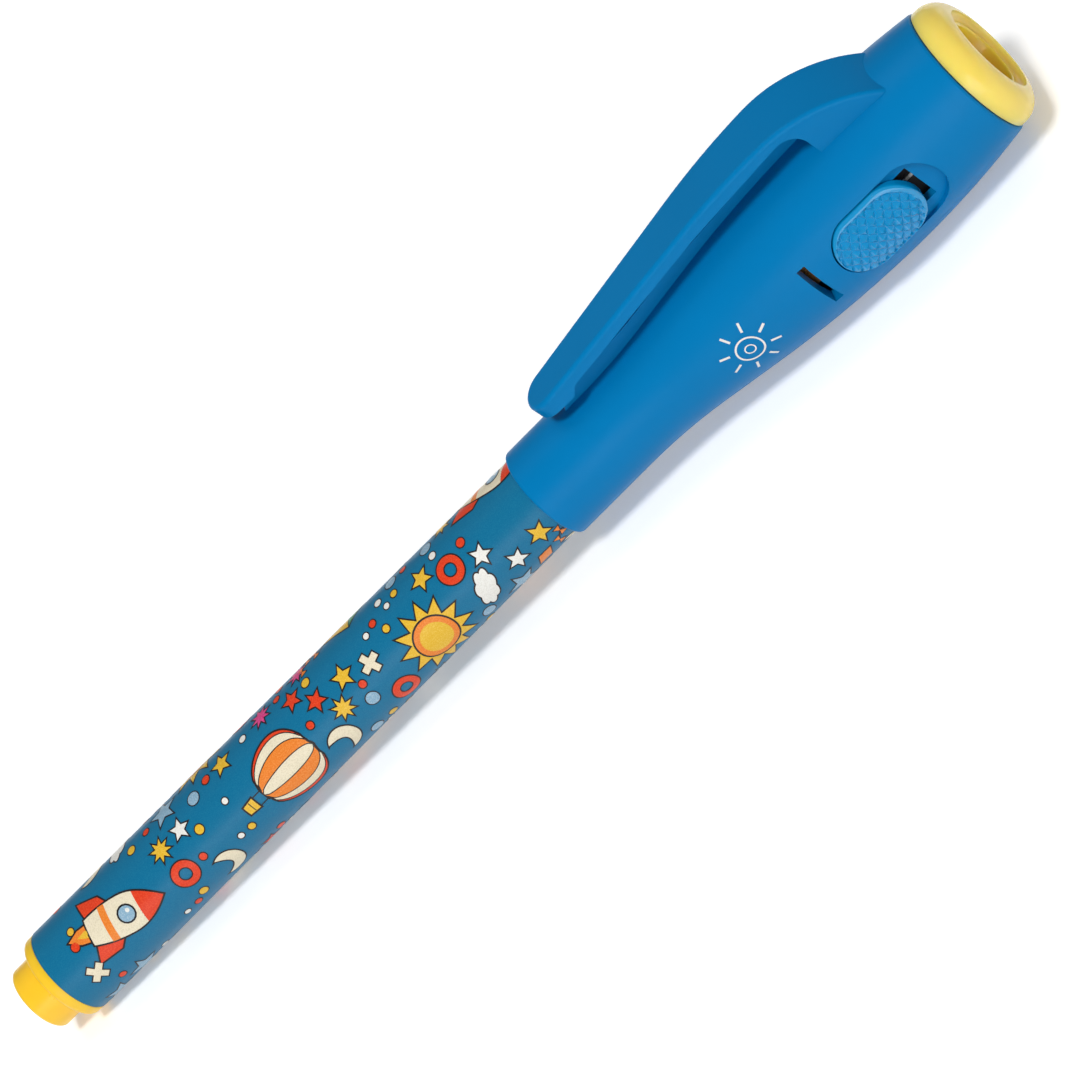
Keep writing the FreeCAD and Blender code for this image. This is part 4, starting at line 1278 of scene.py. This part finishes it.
@dataclass
class LampInsides:
    """The stamped frame inside the lamp's epoxy: a post, a post with a reflector cup, a chip and its wire."""

    space: PenSpace
    post_width: float = 0.5
    post_breadth: float = 0.4
    post_offset: float = 1.27
    cup_station: float = 3.9
    cup_radius: float = 0.85
    cup_depth: float = 0.5
    cup_wall: float = 0.14
    short_post_gap: float = 0.4
    cup_post_gap: float = 0.9
    bridge_gap: float = 1.1
    bridge_width: float = 1.9
    bridge_breadth: float = 0.5
    bridge_offset: float = -0.4
    chip_width: float = 0.42
    chip_height: float = 0.12
    wire: float = 0.06
    wire_rise: float = 0.55

    def lathe(self, profile: np.ndarray, count: int = 32) -> Shell:
        """Turn a closed profile about the lamp's axis: each of its points runs round a circle.

        Args:
            profile: its points as (station, radius).
            count: points round each circle.

        Returns:
            The shell.
        """
        turn = np.linspace(0, math.tau, count, endpoint=False)
        points = self.space.place(profile[:, :1], profile[:, 1:], turn[None, :])
        return points.reshape(-1, 3), grid_faces(len(profile), count, True, True)

    def along_axis(self, stations: np.ndarray, section: np.ndarray) -> Shell:
        """Carry sections along the axis.

        Args:
            stations: each section's station.
            section: each section's points as complex numbers: the real part runs from the axis towards the
                switch, and the imaginary part up.

        Returns:
            The shell.
        """
        x = np.broadcast_to((self.space.tail_x + stations)[:, None], section.shape)
        points = MM * np.stack([x, -section.real, self.space.axis_z + section.imag], axis=-1)
        return points.reshape(-1, 3), grid_faces(*section.shape, False, True)

    def bar(self, start: float, end: float, offset: float, width: float, breadth: float) -> Shell:
        """Run a bar along the axis, with a rounded square section.

        The section is a superellipse of the fourth power, and both ends are drawn in to a point.

        Args:
            start: the station where it starts.
            end: the station where it ends.
            offset: how far towards the switch it lies.
            width: its width towards the switch.
            breadth: its width up.

        Returns:
            The shell.
        """
        turn = np.exp(1j * np.linspace(0, math.tau, 20, endpoint=False))
        across = np.sign(turn.real) * np.abs(turn.real) ** 0.5 * width / 2
        up = np.sign(turn.imag) * np.abs(turn.imag) ** 0.5 * breadth / 2
        grow = np.array([0.0, 1.0, 1.0, 0.0])[:, None]
        return self.along_axis(np.array([start, start, end, end]), offset + grow * (across + 1j * up))

    def frame(self, base: float, cup: float) -> list[Shell]:
        """Shape the stamped frame.

        Args:
            base: the station of the lamp's underside.
            cup: the station of the cup's rim.

        Returns:
            The cup, its post with a bridge under the cup, and the other post.
        """
        under, floor = cup - self.cup_depth, cup - self.cup_depth + self.cup_wall
        profile = np.array([
            (under, 0.0), (under, self.cup_radius * 0.8), (cup, self.cup_radius),
            (cup, self.cup_radius - self.cup_wall), (floor, self.cup_radius * 0.5), (floor, 0.0),
        ])
        return [
            self.lathe(profile),
            self.bar(base, cup - self.cup_post_gap, -self.post_offset, self.post_width, self.post_breadth),
            self.bar(cup - self.bridge_gap, under + 0.02, self.bridge_offset, self.bridge_width,
                     self.bridge_breadth),
            self.bar(base, cup - self.short_post_gap, self.post_offset, self.post_width, self.post_breadth),
        ]

    def chip_and_wire(self, cup: float) -> list[Shell]:
        """Shape the chip and the wire that runs from its top to the other post.

        The wire moves evenly outwards and towards the post's end, and half a sine lifts it in between.

        Args:
            cup: the station of the cup's rim.

        Returns:
            The chip and the wire.
        """
        floor = cup - self.cup_depth + self.cup_wall
        top = floor + self.chip_height
        share = np.linspace(0, 1, 14)
        loop = top + (cup - self.short_post_gap - top) * share + self.wire_rise * np.sin(share * math.pi)
        round_wire = self.wire / 2 * np.exp(1j * np.linspace(0, math.tau, 8, endpoint=False))
        return [
            self.bar(floor, top, 0.0, self.chip_width, self.chip_width),
            self.along_axis(loop, self.post_offset * share[:, None] + round_wire),
        ]

    def build(self) -> None:
        """Build the frame, the chip and the wire inside the lamp's body."""
        low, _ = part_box("uv_led")
        base = low.x / MM - self.space.tail_x
        cup = base + self.cup_station
        frame = merged_piece("lamp_stamped_frame", self.frame(base, cup), LEG_STEEL.material())
        settle(frame, "cap")
        chip = merged_piece("lamp_chip_and_wire", self.chip_and_wire(cup), BOND_GOLD.material(), close_ends=True)
        settle(chip, "cap")


@dataclass
class CapAssembly:
    """The cap with its clip, the lamp, the cells and the contacts."""

    space: PenSpace
    nodes: dict
    sign_stations: tuple[float, float] = (97.0, 111.0)
    plain_angle: float = math.radians(225)

    def build(self) -> None:
        """Finish the nodes, lay the sign on a skin measured where the cap is plain, and fill the lamp."""
        dress(self.nodes, {
            "cap_shell": BLUE_ABS,
            "inner_cap": SOFT_WHITE_PE,
            "bezel_ring": PALE_YELLOW_STYRENE,
            "uv_led": LAMP_EPOXY,
            "led_anode_lead": LEG_STEEL,
            "led_cathode_lead": LEG_STEEL,
            "battery_carrier": BLACK_ABS,
            "button_cell_1": CAN_STEEL,
            "button_cell_2": CAN_STEEL,
            "button_cell_3": CAN_STEEL,
            "tail_contact": SPRING_BRONZE,
        })
        stations = np.linspace(*self.sign_stations, 29)
        skin = RoundSkin.measured(self.space, self.nodes["cap_shell"], stations, self.plain_angle)
        LampSign(skin).build()
        LampInsides(self.space).build()


@dataclass
class ThumbSlide:
    """The switch's knob, with the knurl that its plain solid leaves out.

    Its outline is a stadium. The top is a crown round the pen and along it, cut by two families of V grooves
    into small pyramids. A smooth lip is left at the lamp end and a narrow one towards the clip.
    """

    space: PenSpace
    nodes: dict
    rim_round: float = 0.3
    crown_drop: float = 0.25
    knurl_depth: float = 0.42
    pitch_along: float = 1.14
    pitch_across: float = 1.43
    blunt: float = 0.98
    lip_lamp_end: float = 0.5
    lip_clip_side: float = 0.4
    lip_other: float = 0.12
    lip_sink: float = 0.1
    lip_blend: float = 0.12
    stem_half_width: float = 2.15
    stem_overlap: float = 0.03
    point_step: float = 0.055

    def knurl(self, along: np.ndarray, across: np.ndarray) -> np.ndarray:
        """Work out the knurl's depth below the crown.

        Each groove family is counted by along over its pitch plus or minus across over its pitch. The
        nearer groove is the deeper one: a pyramid's height falls with the larger of the two distances from
        its tip, and is cut off at the blunt tip.

        Args:
            along: places along the knob from its middle.
            across: places across it.

        Returns:
            Depths.
        """
        first = along / self.pitch_along + across / self.pitch_across
        second = along / self.pitch_along - across / self.pitch_across
        away = np.maximum(np.abs(first - np.round(first)), np.abs(second - np.round(second)))
        height = np.minimum(1 - 2 * away, self.blunt) / self.blunt
        return self.knurl_depth * (1 - height)

    def stadium(self, half_length: float, half_width: float) -> tuple[np.ndarray, np.ndarray]:
        """Draw the outline: two straight sides, and half circles round the ends of the middle line.

        Args:
            half_length: half the knob's length.
            half_width: half its width.

        Returns:
            For each of the outline's points, its place on the middle line and its direction from there, as
            complex numbers.
        """
        straight = half_length - half_width
        side = np.linspace(-straight, straight, max(2, round(2 * straight / self.point_step)), endpoint=False)
        count = round(math.pi * half_width / self.point_step)
        bend = np.linspace(-math.pi / 2, math.pi / 2, count, endpoint=False)
        middle = np.concatenate([side, np.full(count, straight), -side, np.full(count, -straight)])
        away = np.concatenate([np.full(len(side), -1j), np.exp(1j * bend), np.full(len(side), 1j),
                               -np.exp(1j * bend)])
        return middle, away

    def relief(self, along: np.ndarray, across: np.ndarray, half_length: float,
               half_width: float) -> np.ndarray:
        """Work out the depth below the crown: the knurl inside its own stadium, and a sunk lip outside it.

        The knurl's share rises from 0 at its stadium's edge to 1 at the blend's width inside it.

        Args:
            along: places along the knob from its middle.
            across: places across it.
            half_length: half the knob's length.
            half_width: half its width.

        Returns:
            Depths.
        """
        low_x, high_x = -half_length + self.lip_other, half_length - self.lip_lamp_end
        low_z, high_z = -half_width + self.lip_other, half_width - self.lip_clip_side
        radius = (high_z - low_z) / 2
        straight = np.clip(along, low_x + radius, high_x - radius)
        inside = radius - np.hypot(along - straight, across - (high_z + low_z) / 2)
        share = np.clip(inside / self.lip_blend, 0, 1)
        return share * self.knurl(along, across) + (1 - share) * self.lip_sink

    def knob(self, base: float) -> Shell:
        """Shape the knob: its underside, its side wall, a rounded rim and the crown, ring by ring inwards.

        Along the pen the crown's ridge is an arc that drops by the crown's drop towards both ends. Across it
        the crown is round the pen's axis: its height is the root of the ridge squared less across squared.

        Args:
            base: the underside's distance from the axis.

        Returns:
            The shell.
        """
        low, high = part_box("switch_knob")
        centre, half_length = (low.x + high.x) / 2 / MM, (high.x - low.x) / 2 / MM
        half_width = (high.z - low.z) / 2 / MM
        crown_radius = (half_length ** 2 + self.crown_drop ** 2) / (2 * self.crown_drop)
        middle, away = self.stadium(half_length, half_width)
        arc = np.linspace(0, math.pi / 2, 9)
        flat_width = half_width - self.rim_round
        inner = np.linspace(flat_width, 0, round(flat_width / self.point_step))[1:]
        reach = np.concatenate([[0.0, half_width], half_width - self.rim_round * (1 - np.cos(arc)), inner])
        drop = np.concatenate([[0.0, 0.0], self.rim_round * (1 - np.sin(arc)), np.zeros(len(inner))])
        flat = middle[None, :] + reach[:, None] * away[None, :]
        along, across = flat.real, flat.imag
        ridge = -low.y / MM - crown_radius + np.sqrt(crown_radius ** 2 - along ** 2)
        crown = np.sqrt(ridge ** 2 - across ** 2)
        height = crown - drop[:, None] - self.relief(along, across, half_length, half_width)
        height[:2] = base
        points = MM * np.stack([centre + along, -height, self.space.axis_z + across], axis=-1)
        return points.reshape(-1, 3), grid_faces(*flat.shape, False, True)

    def stem(self, base: float) -> Shell:
        """Shape the stem: a block as long as the contact, from the plain solid's inner end up into the knob.

        Args:
            base: the knob's underside's distance from the axis.

        Returns:
            The shell.
        """
        low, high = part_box("switch_knob")
        contact_low, contact_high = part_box("switch_contact")
        x = np.array([contact_low.x, contact_high.x]) / MM
        y = -np.array([-high.y / MM, base + self.stem_overlap])
        z = self.space.axis_z + self.stem_half_width * np.array([-1, 1])
        corners = np.stack(np.meshgrid(x, y, z, indexing="ij"), axis=-1).reshape(-1, 3)
        faces = [(0, 1, 3, 2), (4, 5, 7, 6), (0, 1, 5, 4), (2, 3, 7, 6), (0, 2, 6, 4), (1, 3, 7, 5)]
        return MM * corners, np.array(faces)

    def base_height(self) -> float:
        """Find how far the knob's underside is from the axis, at the solid's widest places.

        Returns:
            The distance, so that the side wall is as high as the solid's own.
        """
        node = self.nodes["switch_knob"]
        places = np.empty(len(node.data.vertices) * 3, np.float32)
        node.data.vertices.foreach_get("co", places)
        places = places.reshape(-1, 3) / MM
        rim = np.abs(places[:, 2] - places[:, 2].max()) < 0.01
        return float(-places[rim, 1].max())

    def build(self) -> None:
        """Build the knob with its stem, and let it stand for its plain solid."""
        base = self.base_height()
        # The knob's paler blue is painted light for its shining facets.
        piece = merged_piece("thumb_slide", [self.knob(base), self.stem(base)], BLUE_SLIDE_PAINTED_LIT.material())
        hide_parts("switch_knob")
        settle(piece, "switch")
        dress(self.nodes, {"switch_knob": BLUE_SLIDE_PAINTED_LIT, "switch_contact": SPRING_BRONZE})


# ----------------------------------------------------------------------------------------------------------
# The studio
# ----------------------------------------------------------------------------------------------------------
@dataclass(frozen=True)
class Lamp:
    """A wide distant lamp: its direction, strength and spread in degrees, and whether gloss mirrors it."""

    name: str
    toward: tuple[float, float, float]
    strength: float
    spread: float
    mirrored: bool

    def build(self) -> None:
        """Hang the lamp."""
        light = bpy.data.lights.new(self.name, "SUN")
        light.energy = self.strength
        light.angle = math.radians(self.spread)
        holder = bpy.data.objects.new(self.name, light)
        holder.rotation_mode = "QUATERNION"
        holder.rotation_quaternion = Vector(self.toward).to_track_quat("Z", "Y")
        holder.visible_glossy = self.mirrored
        bpy.context.scene.collection.objects.link(holder)


@dataclass
class Studio:
    """A white table under soft lamps, and the camera.

    The table is tilted to carry the pen as it lies: on the cap's widest part and the film's tail end.
    """

    camera_place: tuple[float, float, float] = (187.2, -485.6, 361.2)
    camera_aim: tuple[float, float, float] = (4.22, -5.02, 8.68)
    camera_roll: float = math.radians(57.12)
    lens: float = 210.56
    sensor: float = 36.0
    table_reach: float = 260.0
    table_gap: float = 0.02
    table_colours: tuple[str, str] = ("#FAFAFA", "#FCFCFC")
    table_light: float = 0.28
    paint_patch: float = 40.0
    belly_to_end: float = 13.9
    room_light: float = 0.15
    room_mirrored: float = 0.15
    lamps: tuple[Lamp, ...] = (
        Lamp("key_lamp", (0.0, -0.43, 0.9), 1.75, 13.0, False),
        Lamp("fill_lamp", (0.05, -1.0, 0.04), 1.8, 60.0, True),
        Lamp("top_lamp", (0.0, 0.25, 0.97), 0.5, 30.0, False),
    )

    def build(self) -> None:
        """Build the table, the room's light, the lamps and the camera."""
        self.table()
        self.room()
        for lamp in self.lamps:
            lamp.build()
        self.camera()

    def table(self) -> None:
        """Lay a plate that touches the cap's belly and the film's tail end.

        Its height falls evenly from the one to the other. Its paint glows a little where the camera sees it,
        so that it looks white there and still takes the pen's shadow.
        """
        sleeve_low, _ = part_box("printed_sleeve")
        _, shell_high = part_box("cap_shell")
        belly_x = shell_high.x / MM - self.belly_to_end
        tail_x, tail_z = sleeve_low.x / MM, sleeve_low.z / MM - self.table_gap
        slope = (-self.table_gap - tail_z) / (belly_x - tail_x)
        across = np.linspace(-self.table_reach, self.table_reach, 3)
        x, y = np.meshgrid(across, across, indexing="ij")
        points = MM * np.stack([x, y, tail_z + slope * (x - tail_x)], axis=-1).reshape(-1, 3)
        mesh = bpy.data.meshes.new("table_top")
        mesh.from_pydata(points, [], grid_faces(3, 3, False, False).tolist())
        mesh.materials.append(self.paint())
        table = bpy.data.objects.new("table_top", mesh)
        bpy.context.scene.collection.objects.link(table)

    def paint(self) -> bpy.types.Material:
        """Build the table's white paint: a dull coat in faint patches, with a glow for the camera.

        Returns:
            The material.
        """
        material, tree, place = empty_material("white_table_paint")
        patches = add_node(tree, "ShaderNodeTexNoise",
                           {"Vector": place, "Scale": scale_for(self.paint_patch)})
        colour = two_tone(tree, patches, (0.0, 1.0), 1.0, self.table_colours)
        coat = add_node(tree, "ShaderNodeBsdfDiffuse", {"Color": colour})
        light = add_node(tree, "ShaderNodeMath", {0: self.seen_directly(tree), 1: self.table_light},
                         operation="MULTIPLY")
        glow = add_node(tree, "ShaderNodeEmission", {"Strength": light})
        both = add_node(tree, "ShaderNodeAddShader", {0: coat, 1: glow})
        add_node(tree, "ShaderNodeOutputMaterial", {"Surface": both})
        return material

    @staticmethod
    def seen_directly(tree: Tree, mirrored: float = 1.0) -> bpy.types.Node:
        """Tell the camera's rays from others: the larger of 1 for those and the mirrored value for these.

        Args:
            tree: the node tree.
            mirrored: the value for rays in mirrors and through clear things.

        Returns:
            The node that gives 1 for rays from the camera, mirrored in mirrors, and 0 for other rays.
        """
        path = add_node(tree, "ShaderNodeLightPath").outputs
        either = add_node(tree, "ShaderNodeMath", {0: path["Is Glossy Ray"], 1: path["Is Transmission Ray"]},
                          operation="MAXIMUM")
        weaker = add_node(tree, "ShaderNodeMath", {0: either, 1: mirrored}, operation="MULTIPLY")
        return add_node(tree, "ShaderNodeMath", {0: path["Is Camera Ray"], 1: weaker}, operation="MAXIMUM")

    def room(self) -> None:
        """Fill the room with an even soft light, white where it is seen, and dimmer in mirrors."""
        world = bpy.data.worlds.new("soft_room")
        bpy.context.scene.world = world
        world.use_nodes = True
        tree = world.node_tree
        tree.nodes.clear()
        strength = add_node(tree, "ShaderNodeMapRange", {
            "Value": self.seen_directly(tree, self.room_mirrored), "To Min": self.room_light, "To Max": 1.0,
        })
        light = add_node(tree, "ShaderNodeBackground", {"Color": linear("#FFFFFF"), "Strength": strength})
        add_node(tree, "ShaderNodeOutputWorld", {"Surface": light})

    def camera(self) -> None:
        """Set the camera to the photograph's view, worked out from the pen's round edges in it."""
        data = bpy.data.cameras.new("photo_view")
        data.lens = self.lens
        data.sensor_width = self.sensor
        data.clip_start = 0.02
        data.clip_end = 20.0
        holder = bpy.data.objects.new("photo_view", data)
        place = Vector(self.camera_place) * MM
        look = Vector(self.camera_aim) * MM - place
        upright = look.to_track_quat("-Z", "Y").to_matrix().to_4x4()
        roll = Matrix.Rotation(-self.camera_roll, 4, "Z")
        holder.matrix_world = Matrix.Translation(place) @ upright @ roll
        bpy.context.scene.collection.objects.link(holder)
        bpy.context.scene.camera = holder


def main() -> None:
    """Load the frame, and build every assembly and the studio."""
    logging.basicConfig(level=logging.INFO, format="%(name)s: %(message)s")
    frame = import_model()
    space = PenSpace.from_frame()
    nodes = frame["nodes"]
    PenAssembly(space, nodes).build()
    CapAssembly(space, nodes).build()
    ThumbSlide(space, nodes).build()
    Studio().build()
    bpy.context.scene.view_settings.view_transform = "Standard"
    LOG.info("built")


if __name__ == "__main__":
    main()
